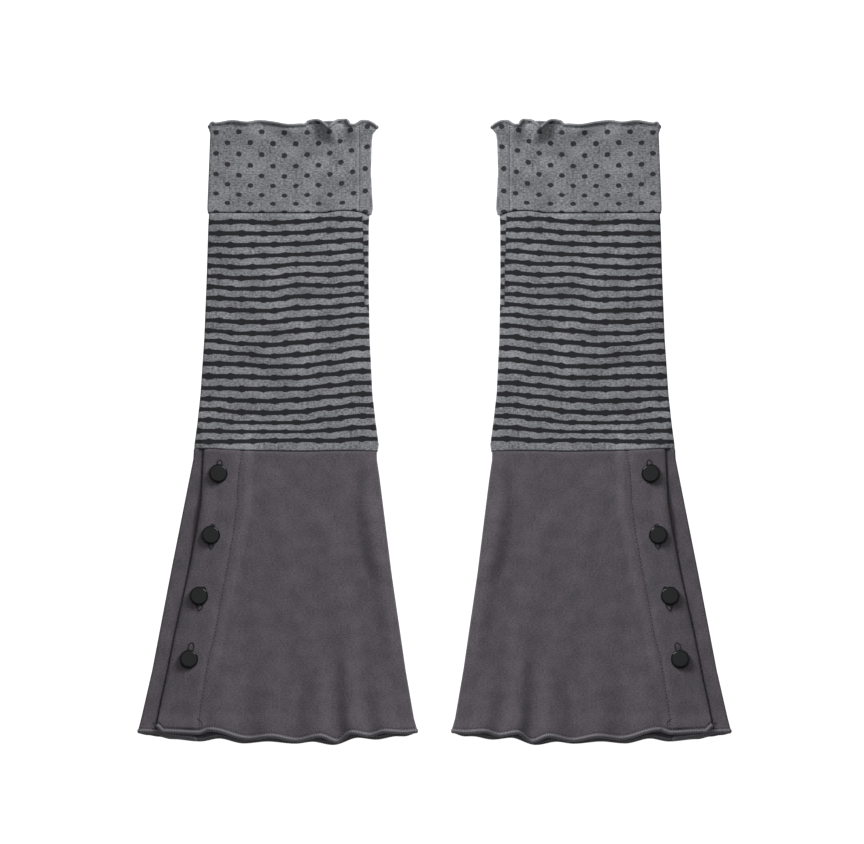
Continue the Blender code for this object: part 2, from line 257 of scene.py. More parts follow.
HEM_LAP = (
    Ruffle(72.8, -4.7, 0.0),
    Ruffle(81.3, -3.4, 0.0),
    Ruffle(96.6, -1.9, 0.0),
    Ruffle(106.8, 1.4, 0.0),
    Ruffle(117.0, 1.7, 0.0),
    Ruffle(121.1, 1.6, 0.0),
)
HEM_BACK = (
    Ruffle(-103.0, 1.8, 0.0),
    Ruffle(-92.0, -1.1, 0.4),
    Ruffle(-86.4, -1.0, 0.5),
    Ruffle(-69.6, -3.7, 0.0),
    Ruffle(-55.2, -2.2, 0.8),
    Ruffle(-35.2, -8.0, 0.0),
    Ruffle(-18.8, -5.4, 0.7),
    Ruffle(-5.0, -7.0, 0.0),
    Ruffle(17.0, -5.2, 0.7),
    Ruffle(36.0, -6.8, 0.0),
    Ruffle(56.0, -2.8, 0.8),
    Ruffle(71.0, -5.2, 0.0),
    Ruffle(94.0, -3.3, 0.0),
    Ruffle(104.2, -1.3, 0.0),
    Ruffle(113.0, -0.1, 0.0),
    Ruffle(121.1, 1.4, 0.0),
)

# Soft folds in the skirt: a negative height is a trough
Crease = namedtuple("Crease", "from_across from_up to_across to_up width height")
FLARE_CREASES = (
    Crease(-65.0, 174.0, -71.5, 138.0, 13.0, 3.4),
    Crease(-77.0, 106.0, -85.0, 58.0, 12.0, 1.4),
    Crease(-63.0, 216.0, -62.0, 200.0, 9.0, 1.0),
    Crease(-44.0, 178.0, -62.0, 60.0, 16.0, -0.5),
    Crease(19.0, 220.0, -24.0, 184.0, 10.0, -0.6),
    Crease(-10.0, 200.0, -34.0, 150.0, 12.0, 0.4),
    Crease(-6.0, 92.0, -2.0, 24.0, 9.0, 0.5),
    Crease(-40.0, 60.0, -42.0, 6.0, 9.0, -0.4),
    Crease(34.0, 60.0, 31.0, 6.0, 9.0, -0.3),
    Crease(24.0, 176.0, -8.0, 150.0, 16.0, 0.3),
    Crease(76.0, 184.0, 71.0, 150.0, 8.0, -0.3),
    Crease(82.0, 96.0, 90.0, 30.0, 9.0, 0.3),
)
FLARE_BACK_CREASES = (
    Crease(60.0, 180.0, 78.0, 40.0, 15.0, 0.7),
    Crease(-30.0, 150.0, -52.0, 50.0, 14.0, 0.6),
    Crease(16.0, 210.0, 4.0, 120.0, 12.0, 0.5),
)
# How far the seam at the skirt's upper end bows towards the cuff
SeamLine = namedtuple("SeamLine", "across up")
SKIRT_SEAM = (
    SeamLine(-70.0, -0.5),
    SeamLine(-47.0, 0.0),
    SeamLine(-8.0, -0.5),
    SeamLine(20.0, -0.1),
    SeamLine(31.0, 0.05),
    SeamLine(41.6, 0.25),
    SeamLine(48.0, 0.55),
    SeamLine(57.6, 1.35),
    SeamLine(63.0, 1.5),
    SeamLine(76.0, 1.5),
)
SEAM_BOW_REACH = 24.0


def to_world(side, across, up, z):
    return Vector((side * (PAIR_HALF_SPACING + across) * MM, (up - PAIR_MIDDLE) * MM, z * MM))


def ease(share):
    """0 to 1 with a soft start and end."""
    share = min(1.0, max(0.0, share))
    return share * share * (3.0 - 2.0 * share)


def blend(low, high, share):
    return low + share * (high - low)


def read(rows, at, field, turn=lambda share: share):
    """A field of a table at a place between two of its rows, by the table's first column."""
    if at <= rows[0][0]:
        return getattr(rows[0], field)
    for low, high in zip(rows, rows[1:]):
        if at <= high[0]:
            share = turn((at - low[0]) / (high[0] - low[0]))
            return blend(getattr(low, field), getattr(high, field), share)
    return getattr(rows[-1], field)


def read_smooth(rows, at, field):
    """A field of a table along a smooth curve through its rows."""
    low = max(0, min(len(rows) - 2, sum(1 for row in rows if row[0] <= at) - 1))
    near = [rows[min(len(rows) - 1, max(0, low + step))] for step in (-1, 0, 1, 2)]
    places = [row[0] for row in near]
    values = [getattr(row, field) for row in near]
    width = places[2] - places[1]
    slopes = []
    for middle in (1, 2):
        run = places[middle + 1] - places[middle - 1]
        slopes.append((values[middle + 1] - values[middle - 1]) / run * width if run > width else 0.0)
    share = min(1.0, max(0.0, (at - places[1]) / width))
    keep = (1.0 + 2.0 * share) * (1.0 - share) ** 2
    start = share * (1.0 - share) ** 2 * slopes[0]
    stop = share * share * (share - 1.0) * slopes[1]
    return values[1] * keep + values[2] * (1.0 - keep) + start + stop


def crease_height(creases, across, up):
    height = 0.0
    for crease in creases:
        run_across = crease.to_across - crease.from_across
        run_up = crease.to_up - crease.from_up
        length = math.hypot(run_across, run_up)
        from_across = across - crease.from_across
        from_up = up - crease.from_up
        along = (from_across * run_across + from_up * run_up) / length
        beside = (from_across * run_up - from_up * run_across) / length
        past_end = max(-along, along - length, 0.0)
        height += crease.height * ease(1.0 - math.hypot(beside, past_end / 2.0) / crease.width)
    return height


def ridge(shape, from_line):
    return shape.height * ease(1.0 - abs(from_line) / shape.reach)


def spaced(start, stop, steps):
    return [blend(start, stop, step / steps) for step in range(steps + 1)]


class FlatTube:
    """A tube of cloth laid flat: its back on the table, its front on its back, and a fold at each side."""

    def __init__(self, outline, stretches, rings):
        self.outline = outline
        self.rings = rings
        self.columns = [(layer, share) for layer, shares in stretches for share in shares]

    def share_across(self, across, up):
        inner = read(self.outline, up, "inner")
        return (across - inner) / (read(self.outline, up, "outer") - inner)

    def layers(self):
        """The layers and folds, in their order round the piece."""
        return list(dict.fromkeys(layer for layer, share in self.columns))

    def softer_at_folds(self, across, up):
        """1 in the middle and half of it at the folds, where a seam's dip is shallower."""
        share = self.share_across(across, up)
        return blend(0.5, 1.0, ease(4.0 * share * (1.0 - share)))

    def step(self, across, up):
        """How far a lap below raises the front."""
        return 0.0

    def stack(self, up):
        """How much height a layer takes up under the next one."""
        return self.cloth

    def wall(self, layer, across, ring):
        return self.cloth

    def underside(self, layer, across, up):
        back = self.lift("back", across, up)
        if layer == "back":
            return back
        middle = 1.0 - (2.0 * self.share_across(across, up) - 1.0) ** 4
        on_back = back + self.stack(up) + LAYER_GAP + PUFF * max(0.0, middle)
        if layer == "lap":
            return on_back
        return on_back + self.step(across, up) + self.lift("front", across, up)

    def outer_face(self, layer, across, up, ring):
        """The showing face's height, with the relief of its seams, stitch lines and rolled edges."""
        bottom = self.underside(layer, across, up) + self.relief(layer, across, up, ring)
        return bottom if layer == "back" else bottom + self.wall(layer, across, ring)

    def ends(self, layer, up, radius):
        outer = read(self.outline, up, "outer") - radius
        inner = read(self.outline, up, "inner") + radius
        return (outer, inner) if layer == "back" else (inner, outer)

    def guide(self, layer, up):
        """A line that the columns follow between a layer's ends: its share of them, and where it lies."""
        return None

    def place(self, layer, share, up):
        start, stop = self.ends(layer, up, self.cloth + LAYER_GAP / 2)
        guide = self.guide(layer, up)
        if guide is None:
            return blend(start, stop, share)
        if share < guide[0]:
            return blend(start, guide[1], share / guide[0])
        return blend(guide[1], stop, (share - guide[0]) / (1.0 - guide[0]))

    def flat_place(self, layer, share, ring):
        across = self.place(layer, share, ring)
        up = ring + self.shift(layer, across, ring)
        return self.place(layer, share, up), up

    def flat_point(self, layer, share, ring):
        across, up = self.flat_place(layer, share, ring)
        return across, up, self.outer_face(layer, across, up, ring)

    def roll_point(self, layer, share, ring):
        """The middle of a rolled edge on a flat layer."""
        across, up = self.flat_place(layer, share, ring)
        return across, up, self.underside(layer, across, up) + ROLL_RADIUS

    def turned_point(self, name, share, ring, flat, radius):
        """A point on the half turn between the back and the layer above it, at one of the two folds."""
        outer = name.startswith("outer")
        upper = "lap" if "lap" in name else "front"
        high = flat(upper, 1.0 if outer else 0.0, ring)
        low = flat("back", 0.0 if outer else 1.0, ring)
        turn = math.pi * (0.5 - share if outer else share - 0.5)
        bulge = radius * math.cos(turn)
        raised = (1.0 + math.sin(turn)) / 2
        across = blend(low[0], high[0], raised) + (bulge if outer else -bulge)
        return across, blend(low[1], high[1], raised), blend(low[2], high[2], raised)

    def fold_point(self, name, share, ring):
        return self.turned_point(name, share, ring, self.flat_point, self.cloth + LAYER_GAP / 2)

    def roll_fold(self, name, share, ring):
        return self.turned_point(name, share, ring, self.roll_point, (self.cloth + LAYER_GAP) / 2)

    def points(self):
        """Each ring's points, in the order of the columns."""
        table = []
        for ring in self.rings:
            row = []
            for layer, share in self.columns:
                place = self.fold_point if "fold" in layer else self.flat_point
                row.append(place(layer, share, ring))
            table.append(row)
        return table


class Flare(FlatTube):
    cloth = JERSEY
    ruffles = {"front": HEM_FRONT, "back": HEM_BACK, "lap": HEM_LAP}

    def at_hem(self, across, up):
        return blend(FLARE_OUTLINE[0].inner, FLARE_OUTLINE[0].outer, self.share_across(across, up))

    def shift(self, layer, across, ring):
        reach = read(self.ruffles[layer], self.at_hem(across, ring), "up", ease)
        reach *= 1.0 - ease(ring / HEM_REACH)
        bow = 0.0 if layer == "back" else read_smooth(SKIRT_SEAM, across, "up")
        return reach + bow * (1.0 - ease((FLARE_TOP - ring) / SEAM_BOW_REACH))

    def lift(self, layer, across, up):
        wave = read(self.ruffles[layer], self.at_hem(across, up), "lift", ease) * (1.0 - ease(up / HEM_FLUTE))
        if layer == "front":
            wave += crease_height(FLARE_CREASES, across, up) * ease((FLARE_TOP - up) / CREASE_FADE)
        if layer == "back":
            wave += crease_height(FLARE_BACK_CREASES, across, up)
        return wave

    def on_lap(self, across, up):
        lap_end = read(LAP_EDGE, up, "across") - LAP_WIDTH
        return ease((across - lap_end + LAP_STEP) / (LAP_STEP - 1.0))

    def step(self, across, up):
        return (self.stack(up) + LAYER_GAP) * self.on_lap(across, up)

    def stack(self, up):
        return blend(EDGE_ROLL, self.cloth, ease((up - HEM_STACK_REACH) / STACK_FADE))

    def groove(self, past_edge, up):
        """How far the underlap is drawn down beside the lap's edge, from 0 to 1."""
        half_width = read(PLACKET_GROOVE, up, "half_width")
        slot = ease(1.0 - abs(past_edge - half_width) / (half_width + GROOVE_SOFTNESS))
        wedge = ease(1.0 - max(0.0, past_edge) / WEDGE_WIDTH)
        wedge *= ease(1.0 - abs(up - WEDGE_MIDDLE) / WEDGE_REACH)
        return max(slot, WEDGE_DEPTH * wedge) * ease(up / GROOVE_START)

    def past_roll(self, ring):
        return ease((ring - FACING_START) / FACING_START_FADE)

    def full_wall(self, across, ring):
        """The front with its facing, which ends at the hem's roll."""
        return self.cloth + FACING * self.on_lap(across, ring) * self.past_roll(ring)

    def wall(self, layer, across, ring):
        if layer == "lap":
            return self.cloth - PLACKET_THINNING * self.groove(across - read(LAP_EDGE, ring, "across"), ring)
        if layer != "front":
            return self.cloth
        thick = self.full_wall(across, ring)
        inside = read(LAP_EDGE, ring, "across") - across
        if inside >= FOLDED_EDGE:
            return thick
        return thick * math.sqrt(max(THINNEST_FOLD, 1.0 - (1.0 - inside / FOLDED_EDGE) ** 2))

    def relief(self, layer, across, up, ring):
        in_roll = 1.0 - ease((ring - HEM_SWELL_REACH) / HEM_SWELL_FADE)
        rolled = HEM_SWELL * (EDGE_ROLL - self.cloth) / 2 * in_roll
        past_edge = across - read(LAP_EDGE, up, "across")
        if layer == "back":
            return rolled
        if layer == "lap":
            return rolled - PLACKET_DIP * self.groove(past_edge, up)
        folded = (self.full_wall(across, ring) - self.wall(layer, across, ring)) / 2
        turned_in = EDGE_SINK * ease(1.0 + past_edge / EDGE_SINK_REACH) * ease(ring / EDGE_SINK_START)
        gaping = ease(1.0 - abs(ring - LAP_GAPE_MIDDLE) / LAP_GAPE_HALF_HEIGHT)
        turned_in += LAP_GAPE * ease(1.0 + past_edge / LAP_GAPE_REACH) * gaping
        from_line = across - read(TOPSTITCHING, up, "across")
        past_crown = from_line - FACING_CROWN_PLACE
        on_crown = ease(1.0 - max(past_crown / FACING_CROWN_FAR, -past_crown / FACING_CROWN_NEAR))
        facing = FACING_CROWN * on_crown * self.past_roll(ring)
        stitched = facing + ridge(NEEDLE_GROOVE, from_line)
        under_roll = ridge(UNDER_HEM_ROLL, ring - HEM_NEEDLES)
        soft = self.softer_at_folds(across, up)
        seam = -SEAM_DIP * soft * (1.0 - ease((FLARE_TOP - ring) / SEAM_DIP_REACH))
        return rolled + folded + turned_in + stitched + under_roll + seam

    def guide(self, layer, up):
        if layer == "lap":
            return LAP_EDGE_SHARE, read(LAP_EDGE, up, "across")
        if layer == "front":
            return STITCH_SHARE, read(TOPSTITCHING, up, "across")
        return None

    def ends(self, layer, up, radius):
        lap_edge = read(LAP_EDGE, up, "across")
        start, stop = super().ends(layer, up, radius)
        if layer == "lap":
            start = lap_edge - LAP_WIDTH
        if layer == "front":
            stop = lap_edge
        return start, stop


def fold_shares(steps=FOLD_STEPS):
    return spaced(0.0, 1.0, steps)[1:-1]


def feed(tree, socket, value):
    if isinstance(value, bpy.types.NodeSocket):
        tree.links.new(value, socket)
    else:
        socket.default_value = value


def add_node(tree, kind, settings=None, **inputs):
    """A shader node, with each input by name: a value, or another node's output."""
    made = tree.nodes.new(kind)
    for key, value in (settings or {}).items():
        setattr(made, key, value)
    for key, value in inputs.items():
        numbered = key[0] == "i" and key[1:].isdigit()
        feed(tree, made.inputs[int(key[1:]) if numbered else key], value)
    return made


def math_node(tree, operation, first, second=0.0, third=0.0):
    made = add_node(tree, "ShaderNodeMath", {"operation": operation}, i0=first, i1=second)
    if operation == "MULTIPLY_ADD":
        made.inputs[2].default_value = third
    return made.outputs[0]


def smooth_below(tree, value, limit, softness):
    """1 where a value is below its limit and 0 above it, with a soft change."""
    made = add_node(tree, "ShaderNodeMapRange", {"interpolation_type": "SMOOTHSTEP"}, Value=value)
    made.inputs["From Min"].default_value = limit - softness
    made.inputs["From Max"].default_value = limit + softness
    made.inputs["To Min"].default_value = 1.0
    made.inputs["To Max"].default_value = 0.0
    return made.outputs[0]


def mix_colour(tree, factor, first, second):
    return add_node(tree, "ShaderNodeMix", {"data_type": "RGBA"}, i0=factor, i6=first, i7=second).outputs[2]


def fine_noise(tree, vector, across_mm, up_mm, detail=2.0, seed=0.0):
    """Noise with grains of this size along the knit's two directions."""
    scaled = add_node(tree, "ShaderNodeMapping", Vector=vector)
    scaled.inputs["Scale"].default_value = (1.0 / across_mm, 1.0 / up_mm, 1.0)
    scaled.inputs["Location"].default_value = (seed, seed, 0.0)
    noise = add_node(tree, "ShaderNodeTexNoise", {"noise_dimensions": "2D"}, Vector=scaled.outputs[0])
    noise.inputs["Scale"].default_value = 1.0
    noise.inputs["Detail"].default_value = detail
    return noise.outputs["Fac"]


def grey(red, green, blue):
    """A colour as it shows, from 0 to 255 a channel, made linear by the display's own curve."""
    linear = []
    for shown in (red, green, blue):
        linear.append(((shown / 255 + 0.055) / 1.055) ** 2.4 if shown > 10.3 else shown / 3294.6)
    return (*linear, 1.0)


WALE_GRAIN = (0.8, 6.0)
YARN_CONTRAST = 2.0
PATCH_CONTRAST = 0.7
TINT_CONTRAST = 3.0
TINT_START = -1.3
TINT_SHARE = 0.3
NEEDLE_SOFTNESS = 0.1


def knit_base(name, dark, light, streaks, blotches, tint, ribs):
    """A jersey's yarn: short streaks across, soft tinted blotches, and the wales' fine ribs."""
    material = bpy.data.materials.new(name)
    material.use_nodes = True
    tree = material.node_tree
    shader = tree.nodes["Principled BSDF"]
    shader.inputs["Roughness"].default_value = 0.92
    shader.inputs["Specular IOR Level"].default_value = 0.2
    shader.inputs["Sheen Weight"].default_value = 0.12
    shader.inputs["Sheen Roughness"].default_value = 0.5
    uv = add_node(tree, "ShaderNodeUVMap", {"uv_map": "cloth"}).outputs[0]
    yarn = fine_noise(tree, uv, *streaks, detail=3.0)
    wale = fine_noise(tree, uv, *WALE_GRAIN, detail=1.0, seed=17.0)
    patch = fine_noise(tree, uv, *blotches, detail=1.0, seed=40.0)
    mixed = math_node(tree, "MULTIPLY_ADD", yarn, YARN_CONTRAST, (1.0 - YARN_CONTRAST) / 2)
    for noise, contrast in ((wale, 2.0 * ribs), (patch, PATCH_CONTRAST)):
        mixed = math_node(tree, "ADD", mixed, math_node(tree, "MULTIPLY_ADD", noise, contrast, -contrast / 2))
    colour = mix_colour(tree, mixed, dark, light)
    cool = fine_noise(tree, uv, *blotches, detail=2.0, seed=91.0)
    cool = math_node(tree, "MULTIPLY_ADD", cool, TINT_CONTRAST, TINT_START)
    cool = math_node(tree, "MINIMUM", math_node(tree, "MAXIMUM", cool, 0.0), 1.0)
    colour = mix_colour(tree, math_node(tree, "MULTIPLY", cool, TINT_SHARE), colour, tint)
    rib = math_node(tree, "MULTIPLY", wale, 4.0 * ribs)
    height = math_node(tree, "ADD", rib, yarn)
    return material, tree, shader, uv, colour, height


def finish_knit(tree, shader, colour, height, strength=0.25, distance=0.00015):
    bump = add_node(tree, "ShaderNodeBump", Height=height)
    bump.inputs["Strength"].default_value = strength
    bump.inputs["Distance"].default_value = distance
    tree.links.new(bump.outputs[0], shader.inputs["Normal"])
    tree.links.new(colour, shader.inputs["Base Color"])


def needle_line(tree, from_line, along, half_width, pitch, open_share):
    """1 in each needle hole of a line of stitches, and 0 elsewhere."""
    near = smooth_below(tree, math_node(tree, "ABSOLUTE", from_line), half_width, half_width / 2)
    place = math_node(tree, "FRACT", math_node(tree, "DIVIDE", along, pitch))
    return math_node(tree, "MULTIPLY", near, smooth_below(tree, place, open_share, NEEDLE_SOFTNESS))


def uv_axes(tree, uv_map):
    """The two directions of one of the cloth's maps."""
    named = add_node(tree, "ShaderNodeUVMap", {"uv_map": uv_map})
    axes = add_node(tree, "ShaderNodeSeparateXYZ", Vector=named.outputs[0])
    return axes.outputs[0], axes.outputs[1]


SKIRT_DARK = grey(61, 57, 62)
SKIRT_LIGHT = grey(86, 81, 87)
SKIRT_TINT = grey(64, 66, 70)
SKIRT_STREAKS = (1.7, 1.0)
SKIRT_BLOTCHES = (13.0, 12.0)
SKIRT_RIBS = 0.1
# Painted shade for the needle holes
NEEDLE_HOLE_PAINTED_SHADE = grey(24, 22, 26)
NEEDLE_HOLE_SHADE_SHARE = 0.85
NEEDLE_HOLE_HALF_WIDTH = 0.35
HEM_NEEDLE_PITCH = 1.9
HEM_NEEDLE_OPEN = 0.45
LINE_NEEDLE_OPEN = 0.3

PLAIN_JERSEY, tree, shader, uv, colour, height = knit_base(
    "skirt jersey", SKIRT_DARK, SKIRT_LIGHT, SKIRT_STREAKS, SKIRT_BLOTCHES, SKIRT_TINT, SKIRT_RIBS
)
along_hem = uv_axes(tree, "cloth")[0]
from_line, from_hem = uv_axes(tree, "sewing")
# Painted shade: the needle holes of the hem's line and of the topstitching are painted dark, as the shade
# inside each hole.
from_needles = math_node(tree, "SUBTRACT", from_hem, HEM_NEEDLES)
hem_hole_shade = needle_line(
    tree, from_needles, along_hem, NEEDLE_HOLE_HALF_WIDTH, HEM_NEEDLE_PITCH, HEM_NEEDLE_OPEN
)
line_hole_shade = needle_line(tree, from_line, from_hem, NEEDLE_HOLE_HALF_WIDTH, STITCH_PITCH, LINE_NEEDLE_OPEN)
holes = math_node(tree, "MAXIMUM", hem_hole_shade, line_hole_shade)
colour = mix_colour(tree, math_node(tree, "MULTIPLY", holes, NEEDLE_HOLE_SHADE_SHARE), colour, NEEDLE_HOLE_PAINTED_SHADE)
finish_knit(tree, shader, colour, height)


WELD_REACH = 0.02
AWAY_FROM_SEWING = 50.0


def add_cloth(word, side, part, cloth, table, material, uv_maps):
    """The showing face as a grid wrapped round the piece, with a Solidify for the cloth's own thickness."""
    columns = cloth.columns
    grid = bmesh.new()
    bmesh.ops.create_grid(grid, x_segments=len(columns) - 1, y_segments=len(cloth.rings) - 1, size=1.0)
    index_of = {}
    walls = []
    for vert in grid.verts:
        column = round((vert.co.x + 1.0) / 2.0 * (len(columns) - 1))
        ring = round((vert.co.y + 1.0) / 2.0 * (len(cloth.rings) - 1))
        index_of[vert] = (ring, column)
        across, up, z = table[ring][column]
        vert.co = to_world(side, across, up, z)
        layer = columns[column][0]
        walls.append(cloth.wall("back" if "fold" in layer else layer, across, cloth.rings[ring]))
    for map_name, values in uv_maps.items():
        uv_layer = grid.loops.layers.uv.new(map_name)
        for face in grid.faces:
            corners = [index_of[loop.vert] for loop in face.loops]
            for loop, (ring, column) in zip(face.loops, corners):
                loop[uv_layer].uv = values(cloth, table, ring, column, corners)
    if side < 0:
        bmesh.ops.reverse_faces(grid, faces=grid.faces)
    name = f"{word}_{part}_cloth"
    mesh = bpy.data.meshes.new(name)
    grid.to_mesh(mesh)
    grid.free()
    mesh.shade_smooth()
    mesh.materials.append(material)
    piece = bpy.data.objects.new(name, mesh)
    scene.collection.objects.link(piece)
    lit_by_lamp[word].objects.link(piece)
    thickest = max(walls)
    thickness = piece.vertex_groups.new(name="thickness")
    for index, wall in enumerate(walls):
        thickness.add([index], wall / thickest, "REPLACE")
    weld = piece.modifiers.new("join the ring", "WELD")
    weld.merge_threshold = WELD_REACH * MM
    solidify = piece.modifiers.new("cloth", "SOLIDIFY")
    solidify.thickness = thickest * MM
    solidify.vertex_group = thickness.name
    solidify.offset = -1.0
    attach(piece, "root")
    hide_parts(f"{word}_{part}")
    return piece


def plain_uv(cloth, table, ring, column, corners):
    return table[ring][column][0], table[ring][column][1]


def flare_sewing_uv(cloth, table, ring, column, corners):
    """Across from the line of topstitching on the front, and the distance from the hem."""
    across, up, z = table[ring][column]
    if cloth.columns[column][0] != "front":
        return AWAY_FROM_SEWING, cloth.rings[ring]
    return across - read(TOPSTITCHING, up, "across"), cloth.rings[ring]


# Rings up the cloth and columns round it, closer together where the form turns sharply
FLARE_RINGS = [2.0, 2.8, 3.4, 3.9, 4.4, 5.0, 5.6, 6.4] + spaced(8.0, 60.0, 26)
FLARE_RINGS += spaced(60.0, FLARE_TOP - 3.0, 40)[1:] + [FLARE_TOP - 1.8, FLARE_TOP - 0.9, FLARE_TOP]
FRONT_SHARES = spaced(0.0, 0.785, 116) + spaced(0.79, 0.82, 9) + spaced(0.83, 0.985, 20)
FRONT_SHARES += [0.9885, 0.9915, 0.994, 0.996, 0.998, 0.9993, 1.0]
LAP_SHARES = spaced(0.0, 0.64, 8) + spaced(0.66, 0.82, 20) + spaced(0.85, 1.0, 8)
flare = Flare(
    FLARE_OUTLINE,
    (
        ("lap", LAP_SHARES),
        ("outer lap fold", fold_shares()),
        ("back", spaced(0.0, 1.0, 100)),
        ("inner fold", fold_shares()),
        ("front", FRONT_SHARES),
    ),
    FLARE_RINGS,
)
flare_table = flare.points()
for word, side in SIDES:
    uv_maps = {"cloth": plain_uv, "sewing": flare_sewing_uv}
    piece = add_cloth(word, side, "flare", flare, flare_table, PLAIN_JERSEY, uv_maps)

# The skirt's rolled hem: the edge is turned under and overlocked over its whole length, lap and all,
# with a thread of the cloth's own grey whose loops wrap the roll side by side.
ROLL_RADIUS = 1.1
HEM_ROLL_REACH = 1.85
ROLL_SIDES = 12
ROLL_STEP = 0.43
OVERLOCK_PITCH = 1.3
OVERLOCK_RELIEF = 0.07
THREAD_TIP = 0.7
THREAD_SLANT = 0.35
THREAD_GRAIN = (1.1, 0.4)
TURNS_SHARE = 0.6
# How the roll's underside is painted darker with the thread's dark colour, as painted shade
ROLL_UNDERSIDE_SHADE_LIMIT = -0.6
ROLL_UNDERSIDE_SHADE_SOFTNESS = 0.4
ROLL_UNDERSIDE_SHADE_SHARE = 0.5
# A paler band painted along the roll's upper side: a painted highlight where light falls on it
ROLL_HIGHLIGHT_PLACE = 0.5
ROLL_HIGHLIGHT_HALF_WIDTH = 0.25
ROLL_HIGHLIGHT_SOFTNESS = 0.12
ROLL_HIGHLIGHT_CONTRAST = 1.4
PATH_FOLD_STEPS = 12
ROLL_PATH_STEPS = 400
SAME_PLACE = 0.0000005


def radius_at(radius, along_mm, turn):
    return radius(along_mm, turn) if callable(radius) else radius


def evenly(path, step, closed=False):
    """The path again, with its points an even step apart."""
    if closed:
        path = path + path[:1]
    lengths = [0.0]
    for near, far in zip(path, path[1:]):
        lengths.append(lengths[-1] + (far - near).length)
    count = max(2, round(lengths[-1] / (step * MM)))
    even = []
    index = 0
    for number in range(count if closed else count + 1):
        along = lengths[-1] * number / count
        while index < len(path) - 2 and lengths[index + 1] < along:
            index += 1
        width = lengths[index + 1] - lengths[index]
        even.append(path[index].lerp(path[index + 1], (along - lengths[index]) / width if width else 0.0))
    return even


def add_thread(cage, path, radius, sides, beside, closed=False):
    """A round thread along a path: a grid rolled up round it, with its seam merged and its ends drawn in."""
    places = [(point, 1.0) for point in path]
    if closed:
        places.append(places[0])
    else:
        before = path[0] + (path[0] - path[1]).normalized() * radius_at(radius, 0.0, 0.0) * THREAD_TIP * MM
        after = path[-1] + (path[-1] - path[-2]).normalized() * radius_at(radius, 0.0, 0.0) * THREAD_TIP * MM
        places = [(before, 0.0)] + places + [(after, 0.0)]
    rings = []
    along_mm = 0.0
    for index, (point, full) in enumerate(places):
        if closed:
            near = path[(index - 1) % len(path)]
            far = path[(index + 1) % len(path)]
        else:
            near = places[max(0, index - 1)][0]
            far = places[min(len(places) - 1, index + 1)][0]
        along = (far - near).normalized()
        first = (beside - along * beside.dot(along)).normalized()
        if index:
            along_mm += (point - places[index - 1][0]).length / MM
        rings.append((point, first, along.cross(first), full, along_mm))
    grid = bmesh.ops.create_grid(cage, x_segments=sides, y_segments=len(rings) - 1, size=1.0)["verts"]
    at = {}
    for vert in grid:
        corner = round((vert.co.x + 1.0) / 2.0 * sides)
        index = round((vert.co.y + 1.0) / 2.0 * (len(rings) - 1))
        at[vert] = (index, corner)
        point, first, second, full, along_mm = rings[index]
        turn = 2.0 * math.pi * corner / sides
        size = full * radius_at(radius, 0.0 if closed and index == len(rings) - 1 else along_mm, turn) * MM
        vert.co = point + size * (math.cos(turn) * first + math.sin(turn) * second)
    uv_layer = cage.loops.layers.uv.verify()
    faces = {face for vert in grid for face in vert.link_faces}
    for face in faces:
        for loop in face.loops:
            index, corner = at[loop.vert]
            loop[uv_layer].uv = (rings[index][4], corner / sides)
    bmesh.ops.remove_doubles(cage, verts=grid, dist=SAME_PLACE)


def add_piece(word, part, cage, material):
    """A finished mesh as a piece of one leg warmer."""
    name = f"{word}_{part}"
    mesh = bpy.data.meshes.new(name)
    cage.to_mesh(mesh)
    cage.free()
    for layer in mesh.uv_layers:
        layer.name = "cloth"
    mesh.shade_smooth()
    mesh.materials.append(material)
    piece = bpy.data.objects.new(name, mesh)
    scene.collection.objects.link(piece)
    lit_by_lamp[word].objects.link(piece)
    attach(piece, "root")
    return piece


